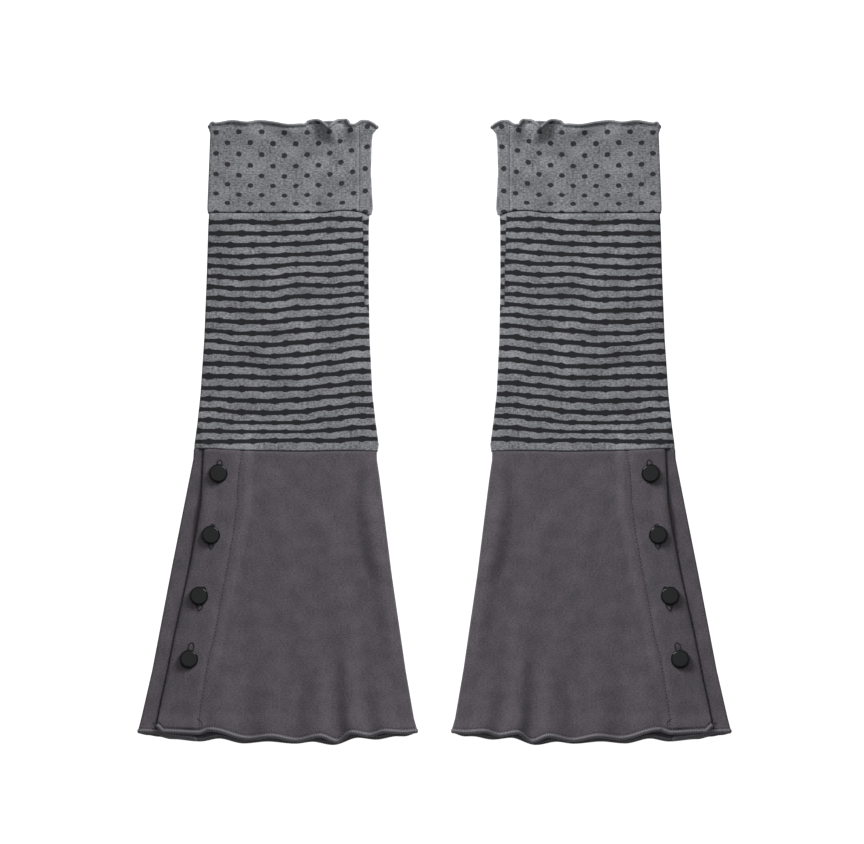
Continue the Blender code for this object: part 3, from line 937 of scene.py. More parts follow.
def thread_material(name, dark, light, pitch, painted_highlight=None, painted_highlight_share=0.6):
    """Thread whose turns show side by side along a roll; given a highlight colour, it also gets a painted
    highlight band along the roll's upper side and painted shade on the roll's underside.
    """
    material = bpy.data.materials.new(name)
    material.use_nodes = True
    tree = material.node_tree
    shader = tree.nodes["Principled BSDF"]
    shader.inputs["Roughness"].default_value = 0.7
    shader.inputs["Specular IOR Level"].default_value = 0.3
    shader.inputs["Sheen Weight"].default_value = 0.1
    uv = add_node(tree, "ShaderNodeUVMap", {"uv_map": "cloth"}).outputs[0]
    along, round_thread = uv_axes(tree, "cloth")
    turns = math_node(tree, "DIVIDE", along, pitch)
    turns = math_node(tree, "ADD", turns, math_node(tree, "MULTIPLY", round_thread, THREAD_SLANT))
    wave = math_node(tree, "COSINE", math_node(tree, "MULTIPLY", turns, 2.0 * math.pi))
    wave = math_node(tree, "MULTIPLY_ADD", wave, 0.5, 0.5)
    noise = math_node(tree, "MULTIPLY", fine_noise(tree, uv, *THREAD_GRAIN), 1.0 - TURNS_SHARE)
    mixed = math_node(tree, "ADD", math_node(tree, "MULTIPLY", wave, TURNS_SHARE), noise)
    colour = mix_colour(tree, mixed, dark, light)
    # Painted light on a roll: the underside is painted darker as its shade, and a paler band along the upper
    # side is a painted highlight, broken up by the thread's turns.
    if painted_highlight:
        around = math_node(tree, "COSINE", math_node(tree, "MULTIPLY", round_thread, 2.0 * math.pi))
        below = smooth_below(tree, around, ROLL_UNDERSIDE_SHADE_LIMIT, ROLL_UNDERSIDE_SHADE_SOFTNESS)
        colour = mix_colour(tree, math_node(tree, "MULTIPLY", below, ROLL_UNDERSIDE_SHADE_SHARE), colour, dark)
        from_highlight_band = math_node(tree, "ABSOLUTE", math_node(tree, "SUBTRACT", around, ROLL_HIGHLIGHT_PLACE))
        highlight_band = smooth_below(tree, from_highlight_band, ROLL_HIGHLIGHT_HALF_WIDTH, ROLL_HIGHLIGHT_SOFTNESS)
        highlight_band = math_node(tree, "MULTIPLY", highlight_band, math_node(tree, "MULTIPLY", mixed, ROLL_HIGHLIGHT_CONTRAST))
        colour = mix_colour(tree, math_node(tree, "MULTIPLY", highlight_band, painted_highlight_share), colour, painted_highlight)
    finish_knit(tree, shader, colour, mixed, strength=0.3, distance=0.0001)
    return material


def roll_path(cloth, side, ring, closed=False):
    """The middle of a rolled edge, round every layer and fold of the cloth."""
    path = []
    for layer in cloth.layers():
        turned = "fold" in layer
        point = cloth.roll_fold if turned else cloth.roll_point
        for share in fold_shares(PATH_FOLD_STEPS) if turned else spaced(0.0, 1.0, ROLL_PATH_STEPS):
            path.append(to_world(side, *point(layer, share, ring)))
    return evenly(path, ROLL_STEP, closed)


def overlocked(along_mm, turn):
    wave = math.cos(2.0 * math.pi * along_mm / OVERLOCK_PITCH + turn)
    return ROLL_RADIUS * (1.0 + OVERLOCK_RELIEF * wave)


def overlocked_flat(along_mm, turn):
    """The hem's roll, which is pressed flatter than the cuff's."""
    flat = math.hypot(math.cos(turn) / HEM_ROLL_REACH, math.sin(turn) / ROLL_RADIUS) * ROLL_RADIUS
    return overlocked(along_mm, turn) / flat


ALONG_LEG = Vector((0.0, 1.0, 0.0))
# The hem thread's dark colour also paints the roll's underside shade, and its highlight colour is a painted
# highlight along the roll's upper side.
SKIRT_THREAD_DARK_AND_SHADE = grey(42, 40, 44)
SKIRT_THREAD_LIGHT = grey(98, 95, 101)
SKIRT_ROLL_PAINTED_HIGHLIGHT = grey(126, 124, 129)
SKIRT_THREAD = thread_material(
    "skirt overlock thread", SKIRT_THREAD_DARK_AND_SHADE, SKIRT_THREAD_LIGHT, OVERLOCK_PITCH, painted_highlight=SKIRT_ROLL_PAINTED_HIGHLIGHT
)
for word, side in SIDES:
    cage = bmesh.new()
    add_thread(cage, roll_path(flare, side, HEM_ROLL_REACH), overlocked_flat, ROLL_SIDES, ALONG_LEG)
    add_piece(word, "skirt_hem_roll", cage, SKIRT_THREAD)

# The facing along the buttoned edge is turned in and held down by one line of dark topstitching.
# Each stitch is a short end of thread that sinks into the cloth at both needle holes.
STITCH_LENGTH = 1.2
STITCH_RADIUS = 0.3
STITCH_RAISED = 0.12
STITCH_SINK = 0.25
STITCH_STEPS = 3
STITCH_TWIST = 0.5
FINE_THREAD_SIDES = 6
ACROSS_LEG = Vector((1.0, 0.0, 0.0))
STITCH_DARK = grey(28, 26, 30)
STITCH_LIGHT = grey(48, 45, 50)
STITCH_THREAD = thread_material("topstitching thread", STITCH_DARK, STITCH_LIGHT, STITCH_TWIST)
for word, side in SIDES:
    cage = bmesh.new()
    height = TOPSTITCHING[0].up
    while height < TOPSTITCHING[-1].up:
        path = []
        for share in spaced(0.0, 1.0, STITCH_STEPS):
            up = height + share * STITCH_LENGTH
            across = read(TOPSTITCHING, up, "across")
            sunk = STITCH_SINK * (2.0 * share - 1.0) ** 2
            z = flare.outer_face("front", across, up, up) + STITCH_RAISED - sunk
            path.append(to_world(side, across, up, z))
        add_thread(cage, path, STITCH_RADIUS, FINE_THREAD_SIDES, ACROSS_LEG)
        height += STITCH_PITCH
    add_piece(word, "facing_topstitching", cage, STITCH_THREAD)

# The tube for the calf: grey melange jersey with narrow charcoal stripes, and one seam near its inner side.
# The stripes sag and swell a little where the cloth drags, and the lower end rides up on the skirt's lap.
TUBE_TOP = 416.4
LAP_RISE_IN_TUBE = 25.0
LAP_RISE_END = 6.0
TUBE_END_DIP = 0.5
TUBE_END_DIP_REACH = 1.1
TUBE_SEAM_GROOVE = Ridge(-0.35, 1.3)
FIRST_STRIPE = 411.5
STRIPE_PITCH = 8.76
STRIPE_COUNT = 21
STRIPE_HALF_SHARE = 0.19
SWELL_PITCH = 17.6
SWELL_START = 0.35
SEAM_MISMATCH = 2.4
SWELL_MISMATCH = 5.0
TUBE_OUTLINE = (
    Outline(FLARE_TOP + SEAM_GAP, 75.9, -71.2),
    Outline(232.0, 75.7, -71.9),
    Outline(250.4, 73.2, -69.4),
    Outline(272.8, 70.8, -66.8),
    Outline(317.6, 67.8, -64.6),
    Outline(362.4, 66.0, -63.8),
    Outline(407.2, 64.6, -63.9),
    Outline(TUBE_TOP, 64.0, -64.4),
)
TUBE_CREASES = (
    Crease(42.0, 388.0, 14.0, 356.0, 17.0, 0.9),
    Crease(34.0, 350.0, 4.0, 330.0, 15.0, 0.7),
    Crease(30.0, 316.0, -10.0, 282.0, 17.0, 1.0),
    Crease(56.0, 292.0, 32.0, 276.0, 13.0, 0.6),
    Crease(-26.0, 300.0, -52.0, 324.0, 15.0, 0.7),
)
TUBE_BACK_CREASES = (
    Crease(-34.0, 380.0, -8.0, 352.0, 15.0, 0.6),
    Crease(-20.0, 310.0, 22.0, 280.0, 16.0, 0.7),
    Crease(40.0, 350.0, 20.0, 326.0, 13.0, 0.5),
)
SideSeam = namedtuple("SideSeam", "up across")
TUBE_SEAM = (
    SideSeam(FLARE_TOP, -90.0),
    SideSeam(330.0, -72.0),
    SideSeam(338.0, -64.2),
    SideSeam(345.0, -60.2),
    SideSeam(383.0, -59.8),
    SideSeam(TUBE_TOP, -58.8),
)
# How far the stripes sag, at six places from the outer fold to the side seam
Sag = namedtuple("Sag", "up at_outer at_second at_third at_fourth at_fifth at_inner")
SAG_PLACES = (61.6, 39.2, 15.2, -8.8, -32.8, -55.2)
STRIPE_SAG = (
    Sag(236.8, 1.6, 1.4, 0.7, 0.3, 0.9, -0.6),
    Sag(245.0, 1.7, 2.8, 2.9, 3.2, 1.3, -1.0),
    Sag(254.3, 1.8, 4.5, 5.2, 4.2, 1.1, -1.4),
    Sag(271.0, 2.4, 3.6, 3.9, 3.1, 0.7, -1.4),
    Sag(280.6, 2.6, 2.7, 3.1, 3.1, 0.6, -1.5),
    Sag(297.0, 0.6, 0.8, 2.8, 2.6, 0.0, -2.5),
    Sag(306.9, -0.4, 1.3, 3.7, 1.8, -0.3, -3.1),
    Sag(315.4, -0.4, 2.4, 2.8, 0.9, -0.6, -3.4),
    Sag(324.0, 0.6, 2.8, 2.6, 0.3, -1.0, -3.5),
    Sag(333.2, 1.0, 2.0, 2.2, -0.1, -1.4, -3.6),
    Sag(346.0, 0.6, 1.4, 2.2, -0.6, -0.9, -2.9),
    Sag(359.4, 0.3, 2.2, 1.9, -1.2, -0.4, -2.1),
    Sag(376.4, 1.2, 2.4, 1.6, -0.5, -0.4, -2.2),
    Sag(385.7, 1.8, 2.6, 1.7, 1.1, -0.3, -2.2),
    Sag(412.0, 1.4, 0.7, 1.8, 0.9, -1.4, -1.0),
)
# How far the seam between the tube and the cuff bows towards the cuff
CUFF_SEAM_LINE = (
    SeamLine(-66.2, -1.2),
    SeamLine(-57.6, 1.6),
    SeamLine(-51.0, 2.6),
    SeamLine(-43.0, 3.0),
    SeamLine(-37.0, 2.6),
    SeamLine(-28.0, 1.3),
    SeamLine(20.0, 1.3),
    SeamLine(64.8, 1.3),
)
CUFF_BOW_REACH = 16.0


class Tube(FlatTube):
    cloth = KNIT

    def shift(self, layer, across, ring):
        if layer != "front":
            return 0.0
        low = read_smooth(SKIRT_SEAM, across, "up") * (1.0 - ease((ring - FLARE_TOP) / SEAM_BOW_REACH))
        high = read_smooth(CUFF_SEAM_LINE, across, "up") * (1.0 - ease((TUBE_TOP - ring) / CUFF_BOW_REACH))
        return low + high

    def step(self, across, up):
        lap_edge = LAP_EDGE[-1].across
        on_lap = ease((across - lap_edge + LAP_WIDTH + LAP_STEP) / LAP_STEP)
        on_lap *= ease((lap_edge + LAP_RISE_END - across) / LAP_RISE_END)
        fade = 1.0 - ease((up - FLARE_TOP) / LAP_RISE_IN_TUBE)
        return (JERSEY + LAYER_GAP + FACING) * on_lap * fade

    def lift(self, layer, across, up):
        inside = ease((up - FLARE_TOP) / CREASE_FADE) * ease((TUBE_TOP - up) / CREASE_FADE)
        creases = TUBE_CREASES if layer == "front" else TUBE_BACK_CREASES
        return crease_height(creases, across, up) * inside

    def relief(self, layer, across, up, ring):
        if layer != "front":
            return 0.0
        soft = self.softer_at_folds(across, up)
        top = -SEAM_DIP * soft * (1.0 - ease((TUBE_TOP - ring) / SEAM_DIP_REACH))
        bottom = -TUBE_END_DIP * soft * (1.0 - ease((ring - FLARE_TOP) / TUBE_END_DIP_REACH))
        return top + bottom + ridge(TUBE_SEAM_GROOVE, across - read(TUBE_SEAM, up, "across"))


def printed_sag(rows, places, across, up):
    """How far the print lies below its even place, from a table of heights by places across."""
    values = [read(rows, up, field) for field in rows[0]._fields[1:]]
    for near, far, first, second in zip(places, places[1:], values, values[1:]):
        if across >= far:
            return blend(second, first, ease((across - far) / (near - far)))
    return values[-1]


def face_middle(table, corners):
    points = [table[ring][column] for ring, column in corners]
    return sum(point[0] for point in points) / len(points), sum(point[1] for point in points) / len(points)


def stripe_uv(cloth, table, ring, column, corners):
    """Across in swellings of the stripes, and up in stripes, which jump at the side seam."""
    across, up, z = table[ring][column]
    number = (FIRST_STRIPE - up - printed_sag(STRIPE_SAG, SAG_PLACES, across, up)) / STRIPE_PITCH
    if cloth.columns[column][0] != "back":
        middle_across, middle_up = face_middle(table, corners)
        if middle_across < read(TUBE_SEAM, middle_up, "across"):
            number -= SEAM_MISMATCH / STRIPE_PITCH
            across += SWELL_MISMATCH
    return across / SWELL_PITCH + SWELL_START, number


def tube_sewing_uv(cloth, table, ring, column, corners):
    across, up, z = table[ring][column]
    if cloth.columns[column][0] == "back":
        return AWAY_FROM_SEWING, cloth.rings[ring]
    return across - read(TUBE_SEAM, up, "across"), cloth.rings[ring]


# A painted shadow line along each side seam, in the tube and the cuff
SEAM_SHADOW_HALF_WIDTH = 0.35
SEAM_SHADOW_SOFTNESS = 0.25
SEAM_SHADOW_SHARE = 0.5
SEAM_PAINTED_SHADOW = grey(40, 40, 44)


def painted_seam_shadow(tree, colour, from_seam):
    """The knit with a painted shadow line along its side seam, over the seam groove's real relief."""
    line = smooth_below(tree, math_node(tree, "ABSOLUTE", from_seam), SEAM_SHADOW_HALF_WIDTH, SEAM_SHADOW_SOFTNESS)
    return mix_colour(tree, math_node(tree, "MULTIPLY", line, SEAM_SHADOW_SHARE), colour, SEAM_PAINTED_SHADOW)


MELANGE_STREAKS = (2.3, 1.1)
MELANGE_BLOTCHES = (22.0, 14.0)
MELANGE_TINT = grey(84, 92, 97)
MELANGE_RIBS = 0.3
TUBE_DARK = grey(76, 76, 79)
TUBE_LIGHT = grey(137, 138, 142)
STRIPE_CHARCOAL = grey(27, 27, 31)
STRIPE_SOFTNESS = 0.025
STRIPE_GRAIN = (1.6, 1.6)
STRIPE_WOBBLE = 0.08
SWELL_HEIGHT = -0.1
SWELL_SHARPNESS = 5.0
BETWEEN_STRIPES = 0.5
SHARP = 0.01

STRIPED_KNIT, tree, shader, uv, colour, height = knit_base(
    "striped melange", TUBE_DARK, TUBE_LIGHT, MELANGE_STREAKS, MELANGE_BLOTCHES, MELANGE_TINT, MELANGE_RIBS
)
wobble = fine_noise(tree, uv, *STRIPE_GRAIN, detail=1.0, seed=7.0)
along_stripe, up_stripes = uv_axes(tree, "pattern")
number = math_node(tree, "ROUND", up_stripes)
from_stripe = math_node(tree, "ABSOLUTE", math_node(tree, "SUBTRACT", up_stripes, number))
half_pitch = math_node(tree, "MULTIPLY", number, 0.5)
swell = math_node(tree, "ADD", along_stripe, half_pitch)
swell = math_node(tree, "COSINE", math_node(tree, "MULTIPLY", swell, 2.0 * math.pi))
swell = math_node(tree, "POWER", math_node(tree, "MULTIPLY_ADD", swell, 0.5, 0.5), SWELL_SHARPNESS)
width = math_node(tree, "MULTIPLY", swell, SWELL_HEIGHT)
edge = math_node(tree, "ADD", from_stripe, width)
ragged = math_node(tree, "MULTIPLY_ADD", wobble, STRIPE_WOBBLE, -STRIPE_WOBBLE / 2)
edge = math_node(tree, "ADD", edge, ragged)
dark = smooth_below(tree, edge, STRIPE_HALF_SHARE, STRIPE_SOFTNESS)
first = smooth_below(tree, math_node(tree, "MULTIPLY", number, -1.0), BETWEEN_STRIPES, SHARP)
last = smooth_below(tree, number, STRIPE_COUNT - BETWEEN_STRIPES, SHARP)
dark = math_node(tree, "MULTIPLY", dark, math_node(tree, "MULTIPLY", first, last))
colour = mix_colour(tree, dark, colour, STRIPE_CHARCOAL)
# The side seam's shadow is painted in along the seam.
from_seam = uv_axes(tree, "sewing")[0]
finish_knit(tree, shader, painted_seam_shadow(tree, colour, from_seam), height)

TUBE_RINGS = [FLARE_TOP + SEAM_GAP, FLARE_TOP + 1.0, FLARE_TOP + 1.8]
TUBE_RINGS += spaced(FLARE_TOP + 3.0, TUBE_TOP - 3.0, 90) + [TUBE_TOP - 1.8, TUBE_TOP - 0.9, TUBE_TOP]
tube = Tube(
    TUBE_OUTLINE,
    (
        ("back", spaced(0.0, 1.0, 60)),
        ("inner fold", fold_shares()),
        ("front", spaced(0.0, 1.0, 120)),
        ("outer fold", fold_shares() + [1.0]),
    ),
    TUBE_RINGS,
)
tube_table = tube.points()
for word, side in SIDES:
    uv_maps = {"cloth": plain_uv, "pattern": stripe_uv, "sewing": tube_sewing_uv}
    piece = add_cloth(word, side, "tube", tube, tube_table, STRIPED_KNIT, uv_maps)

# The cuff: grey melange jersey with a staggered print of small charcoal dots.
# Its lower end is seamed over the tube's, and its side seam runs on from the tube's.
# Its upper edge is stretched as it is overlocked, which ruffles it.
CUFF_TOP = 489.6
CUFF_REACH = 12.0
CUFF_FLUTE = 24.0
DOT_PITCH = 18.2
DOT_MIDDLE = 58.2
DOT_HALF_WIDTH = 2.35
DOT_HALF_HEIGHT = 0.235
CUFF_SEAM = -56.4
CUFF_STACK_REACH = 20.0
CUFF_SWELL_REACH = 1.5
CUFF_SWELL_FADE = 3.0
CUFF_CURL_PLACE = 3.4
CUFF_CURL_REACH = 1.6
CUFF_END_RISE = 0.4
CUFF_END_RISE_REACH = 7.0
CUFF_END_DIP = 0.8
CUFF_END_DIP_REACH = 1.3
SEAM_WELT_PLACE = 1.9
SEAM_WELT = Ridge(0.25, 1.5)
CUFF_SEAM_GROOVE = Ridge(-0.4, 1.4)
CUFF_OUTLINE = (
    Outline(TUBE_TOP + SEAM_GAP, 64.6, -66.2),
    Outline(420.8, 65.4, -67.2),
    Outline(450.4, 64.2, -65.6),
    Outline(474.4, 63.3, -66.3),
    Outline(480.8, 63.0, -67.2),
    Outline(485.6, 64.4, -71.2),
    Outline(CUFF_TOP, 64.6, -72.1),
)
CUFF_FRONT = (
    Ruffle(-72.1, 486.4, 0.0),
    Ruffle(-70.8, 487.4, 0.2),
    Ruffle(-68.8, 489.0, 0.5),
    Ruffle(-65.8, 490.7, 1.0),
    Ruffle(-62.8, 491.9, 1.4),
    Ruffle(-58.3, 492.1, 2.0),
    Ruffle(-57.0, 491.7, 2.3),
    Ruffle(-55.2, 490.4, 2.8),
    Ruffle(-53.4, 489.1, 3.2),
    Ruffle(-51.4, 488.8, 3.4),
    Ruffle(-49.4, 488.9, 3.1),
    Ruffle(-48.2, 489.8, 2.7),
    Ruffle(-47.2, 491.6, 2.2),
    Ruffle(-46.0, 492.8, 1.8),
    Ruffle(-43.8, 493.0, 1.4),
    Ruffle(-38.6, 492.4, 3.6),
    Ruffle(-34.8, 489.8, 7.0),
    Ruffle(-32.4, 486.8, 8.2),
    Ruffle(-29.0, 489.2, 5.2),
    Ruffle(-25.8, 491.6, 2.0),
    Ruffle(-23.6, 492.6, 1.0),
    Ruffle(-20.8, 492.9, 0.5),
    Ruffle(-17.8, 492.4, 0.8),
    Ruffle(-15.3, 491.7, 1.2),
    Ruffle(-13.2, 489.4, 1.8),
    Ruffle(-9.3, 489.2, 2.2),
    Ruffle(0.8, 488.8, 2.2),
    Ruffle(12.8, 490.9, 0.8),
    Ruffle(24.0, 492.0, 0.4),
    Ruffle(33.6, 490.7, 2.1),
    Ruffle(45.6, 492.0, 0.3),
    Ruffle(58.4, 490.0, 0.8),
    Ruffle(61.6, 490.7, 0.4),
    Ruffle(64.6, 486.6, 0.0),
)
CUFF_BACK = (
    Ruffle(-72.1, 486.4, 0.0),
    Ruffle(-61.6, 490.0, 0.0),
    Ruffle(-51.2, 487.8, 0.6),
    Ruffle(-43.0, 490.4, 0.0),
    Ruffle(-29.6, 491.4, 0.8),
    Ruffle(-13.6, 487.6, 0.0),
    Ruffle(0.0, 487.6, 0.5),
    Ruffle(15.2, 490.0, 0.0),
    Ruffle(33.6, 489.2, 0.5),
    Ruffle(51.2, 490.0, 0.0),
    Ruffle(64.6, 486.4, 0.0),
)
# How deep the cloth is drawn in under the roll, and a pucker below it
Curl = namedtuple("Curl", "across depth")
CUFF_CURL = (
    Curl(-72.0, 0.9),
    Curl(-64.0, 1.0),
    Curl(-60.0, 0.3),
    Curl(-50.0, 0.2),
    Curl(-46.0, 0.9),
    Curl(-39.0, 0.9),
    Curl(-36.0, 0.2),
    Curl(-24.0, 1.1),
    Curl(-14.0, 1.0),
    Curl(-11.0, 0.3),
    Curl(-5.0, 0.9),
    Curl(20.0, 1.1),
    Curl(24.0, 0.2),
    Curl(32.0, 0.2),
    Curl(35.0, 1.1),
    Curl(56.0, 0.9),
    Curl(60.0, 0.2),
)
CUFF_CREASES = (
    Crease(20.0, 484.0, 8.0, 480.0, 7.0, -0.9),
    Crease(-13.0, 486.0, -24.0, 478.0, 7.0, -0.8),
    Crease(-20.0, 487.0, -30.0, 476.0, 6.5, -1.2),
)
# The rows of dots lie closer together towards the tube
DotRow = namedtuple("DotRow", "up number")
DOT_ROWS = (
    DotRow(410.0, 9.0),
    DotRow(418.4, 8.0),
    DotRow(425.2, 7.0),
    DotRow(432.0, 6.0),
    DotRow(439.6, 5.0),
    DotRow(447.4, 4.0),
    DotRow(455.6, 3.0),
    DotRow(464.6, 2.0),
    DotRow(473.6, 1.0),
    DotRow(482.2, 0.0),
    DotRow(491.0, -1.0),
)
DOT_ROWS_BEYOND_SEAM = (
    DotRow(410.0, 9.0),
    DotRow(418.4, 8.0),
    DotRow(435.2, 6.0),
    DotRow(453.1, 4.0),
    DotRow(470.6, 2.0),
    DotRow(486.4, 0.0),
    DotRow(496.0, -1.0),
)
DOT_STEP_AT_SEAM = 0.45
# Beside the side seam the print rises and spreads, and beyond it the print is drawn in
DOT_RISE = 1.6
DOT_RISE_FROM = -26.0
DOT_RISE_REACH = 30.0
DOT_SPREAD = 1.5
DOT_SPREAD_FROM = -30.0
DOT_SPREAD_REACH = 18.0
DOT_SPREAD_MIDDLE = 446.0
DOT_SPREAD_HALF_HEIGHT = 34.0
DOT_DRAWN_IN = 1.6
DOT_DRAWN_IN_FROM = 452.0
DOT_DRAWN_IN_REACH = 20.0
DotSag = namedtuple("DotSag", "up at_outer at_second at_third at_fourth at_inner")
DOT_SAG_PLACES = (58.4, 31.2, 4.0, -23.2, -45.6)
DOT_SAG = (
    DotSag(418.0, 0.2, 0.2, 0.2, 0.5, 0.3),
    DotSag(432.0, -1.2, 0.2, 0.6, 0.0, 0.4),
    DotSag(448.0, -1.3, 0.0, 0.7, -0.4, -1.6),
    DotSag(464.0, -0.8, 0.0, 1.3, 0.2, -1.9),
    DotSag(482.0, 0.5, -0.4, 0.5, 0.4, 0.0),
)


class Cuff(FlatTube):
    cloth = KNIT
    ruffles = {"front": CUFF_FRONT, "back": CUFF_BACK}

    def shift(self, layer, across, ring):
        reach = read_smooth(self.ruffles[layer], across, "up") - CUFF_TOP
        reach *= 1.0 - ease((CUFF_TOP - ring) / CUFF_REACH)
        bow = read_smooth(CUFF_SEAM_LINE, across, "up") if layer == "front" else 0.0
        return reach + bow * (1.0 - ease((ring - TUBE_TOP) / CUFF_BOW_REACH))

    def lift(self, layer, across, up):
        wave = max(0.0, read_smooth(self.ruffles[layer], across, "lift"))
        wave *= 1.0 - ease((CUFF_TOP - up) / CUFF_FLUTE)
        return wave + (crease_height(CUFF_CREASES, across, up) if layer == "front" else 0.0)

    def stack(self, up):
        return blend(self.cloth, EDGE_ROLL, ease((up - CUFF_TOP + CUFF_STACK_REACH) / STACK_FADE))

    def relief(self, layer, across, up, ring):
        in_roll = 1.0 - ease((CUFF_TOP - ring - CUFF_SWELL_REACH) / CUFF_SWELL_FADE)
        rolled = (EDGE_ROLL - self.cloth) / 2 * in_roll
        if layer != "front":
            return rolled
        curl = ease(1.0 - abs(CUFF_TOP - ring - CUFF_CURL_PLACE) / CUFF_CURL_REACH)
        under_roll = -read(CUFF_CURL, across, "depth", ease) * curl
        seam = CUFF_END_RISE * ease(1.0 - (ring - TUBE_TOP) / CUFF_END_RISE_REACH)
        seam -= CUFF_END_DIP * (1.0 - ease((ring - TUBE_TOP) / CUFF_END_DIP_REACH))
        from_seam = across - CUFF_SEAM
        side_seam_relief = ridge(SEAM_WELT, from_seam - SEAM_WELT_PLACE) + ridge(CUFF_SEAM_GROOVE, from_seam)
        return rolled + under_roll + seam + side_seam_relief


def dot_uv(cloth, table, ring, column, corners):
    """Across in dots, and up in rows of dots, which jump at the side seam."""
    across, up, z = table[ring][column]
    towards_seam = DOT_RISE * ease((DOT_RISE_FROM - across) / DOT_RISE_REACH)
    sag = printed_sag(DOT_SAG, DOT_SAG_PLACES, across, up)
    number = read(DOT_ROWS, up - towards_seam + sag, "number")
    spread = DOT_SPREAD * ease((DOT_SPREAD_FROM - across) / DOT_SPREAD_REACH)
    spread *= (up - DOT_SPREAD_MIDDLE) / DOT_SPREAD_HALF_HEIGHT
    if cloth.columns[column][0] != "back" and face_middle(table, corners)[0] < CUFF_SEAM:
        number = read(DOT_ROWS_BEYOND_SEAM, up, "number")
        drawn_in = DOT_DRAWN_IN * ease((up - DOT_DRAWN_IN_FROM) / DOT_DRAWN_IN_REACH)
        return (DOT_MIDDLE - across - drawn_in) / DOT_PITCH + DOT_STEP_AT_SEAM, number
    return (DOT_MIDDLE - across + spread) / DOT_PITCH, number


def cuff_sewing_uv(cloth, table, ring, column, corners):
    across = table[ring][column][0]
    from_seam = AWAY_FROM_SEWING if cloth.columns[column][0] == "back" else across - CUFF_SEAM
    return from_seam, CUFF_TOP - cloth.rings[ring]


CUFF_DARK = grey(74, 74, 77)
CUFF_LIGHT = grey(132, 133, 137)
DOT_CHARCOAL = grey(39, 39, 43)
DOT_SOFTNESS = 0.2
DOT_GRAIN = (1.3, 1.3)
DOT_WOBBLE = 0.9
CUFF_NEEDLES = 3.0
CUFF_NEEDLE_HALF_WIDTH = 0.4
CUFF_NEEDLE_PITCH = 1.7
CUFF_NEEDLE_OPEN = 0.5
# Painted shade for the needle holes under the roll
CUFF_NEEDLE_PAINTED_SHADE = grey(46, 46, 50)
CUFF_NEEDLE_SHADE_SHARE = 0.3

DOTTED_KNIT, tree, shader, uv, colour, height = knit_base(
    "dotted melange", CUFF_DARK, CUFF_LIGHT, MELANGE_STREAKS, MELANGE_BLOTCHES, MELANGE_TINT, MELANGE_RIBS
)
wobble = fine_noise(tree, uv, *DOT_GRAIN, detail=1.0, seed=7.0)
along_row, up_rows = uv_axes(tree, "pattern")
row = math_node(tree, "ROUND", up_rows)
from_row = math_node(tree, "DIVIDE", math_node(tree, "SUBTRACT", up_rows, row), DOT_HALF_HEIGHT)
along = math_node(tree, "ADD", along_row, math_node(tree, "MULTIPLY", row, 0.5))
from_dot = math_node(tree, "SUBTRACT", along, math_node(tree, "ROUND", along))
from_dot = math_node(tree, "MULTIPLY", from_dot, DOT_PITCH / DOT_HALF_WIDTH)
squares = [math_node(tree, "POWER", math_node(tree, "ABSOLUTE", part), 2.0) for part in (from_row, from_dot)]
reach = math_node(tree, "ADD", *squares)
reach = math_node(tree, "ADD", reach, math_node(tree, "MULTIPLY_ADD", wobble, DOT_WOBBLE, -DOT_WOBBLE / 2))
dark = smooth_below(tree, reach, 1.0, DOT_SOFTNESS)
colour = mix_colour(tree, dark, colour, DOT_CHARCOAL)
from_seam, from_top = uv_axes(tree, "sewing")
# The side seam's shadow is painted in along the seam.
colour = painted_seam_shadow(tree, colour, from_seam)
along_top = uv_axes(tree, "cloth")[0]
# Painted shade: the needle holes in the line under the roll are painted darker, as the shade inside each
# hole.
from_needles = math_node(tree, "SUBTRACT", from_top, CUFF_NEEDLES)
top_hole_shade = needle_line(
    tree, from_needles, along_top, CUFF_NEEDLE_HALF_WIDTH, CUFF_NEEDLE_PITCH, CUFF_NEEDLE_OPEN
)
colour = mix_colour(tree, math_node(tree, "MULTIPLY", top_hole_shade, CUFF_NEEDLE_SHADE_SHARE), colour, CUFF_NEEDLE_PAINTED_SHADE)
finish_knit(tree, shader, colour, height)

CUFF_RINGS = [TUBE_TOP + SEAM_GAP, TUBE_TOP + 0.9, TUBE_TOP + 1.6]
CUFF_RINGS += spaced(TUBE_TOP + 3.0, CUFF_TOP - 20.0, 22)
CUFF_RINGS += spaced(CUFF_TOP - 20.0, CUFF_TOP - 4.0, 12)[1:]
CUFF_RINGS += [CUFF_TOP - depth for depth in (3.4, 3.0, 2.6, 2.0, 1.5, 1.1)]
cuff = Cuff(
    CUFF_OUTLINE,
    (
        ("back", spaced(0.0, 1.0, 90)),
        ("inner fold", fold_shares()),
        ("front", spaced(0.0, 1.0, 180)),
        ("outer fold", fold_shares() + [1.0]),
    ),
    CUFF_RINGS,
)
cuff_table = cuff.points()
for word, side in SIDES:
    uv_maps = {"cloth": plain_uv, "pattern": dot_uv, "sewing": cuff_sewing_uv}
    piece = add_cloth(word, side, "cuff", cuff, cuff_table, DOTTED_KNIT, uv_maps)

# The two cross seams: a near-black tube in the groove where the skirt meets the tube, and one where the tube
# meets the cuff, each round the whole leg warmer.
# Each is painted shade drawn as a twisted thread, standing in for the shade in the seam's groove.
SEAM_SHADE_RADIUS = 0.7
SEAM_SHADE_SIDES = 8
SEAM_SHADE_STEP = 1.0
SEAM_SHADE_TWIST = 1.6
SEAM_PATH_STEPS = 120
SUNK_IN_SEAM = 0.45
SUNK_IN_FOLD = 0.6
CROSS_SEAMS = (("skirt_seam", FLARE_TOP + 0.1), ("cuff_seam", TUBE_TOP + 0.15))
SEAM_SHADE = thread_material("seam shade", grey(4, 4, 5), grey(18, 18, 20), SEAM_SHADE_TWIST)


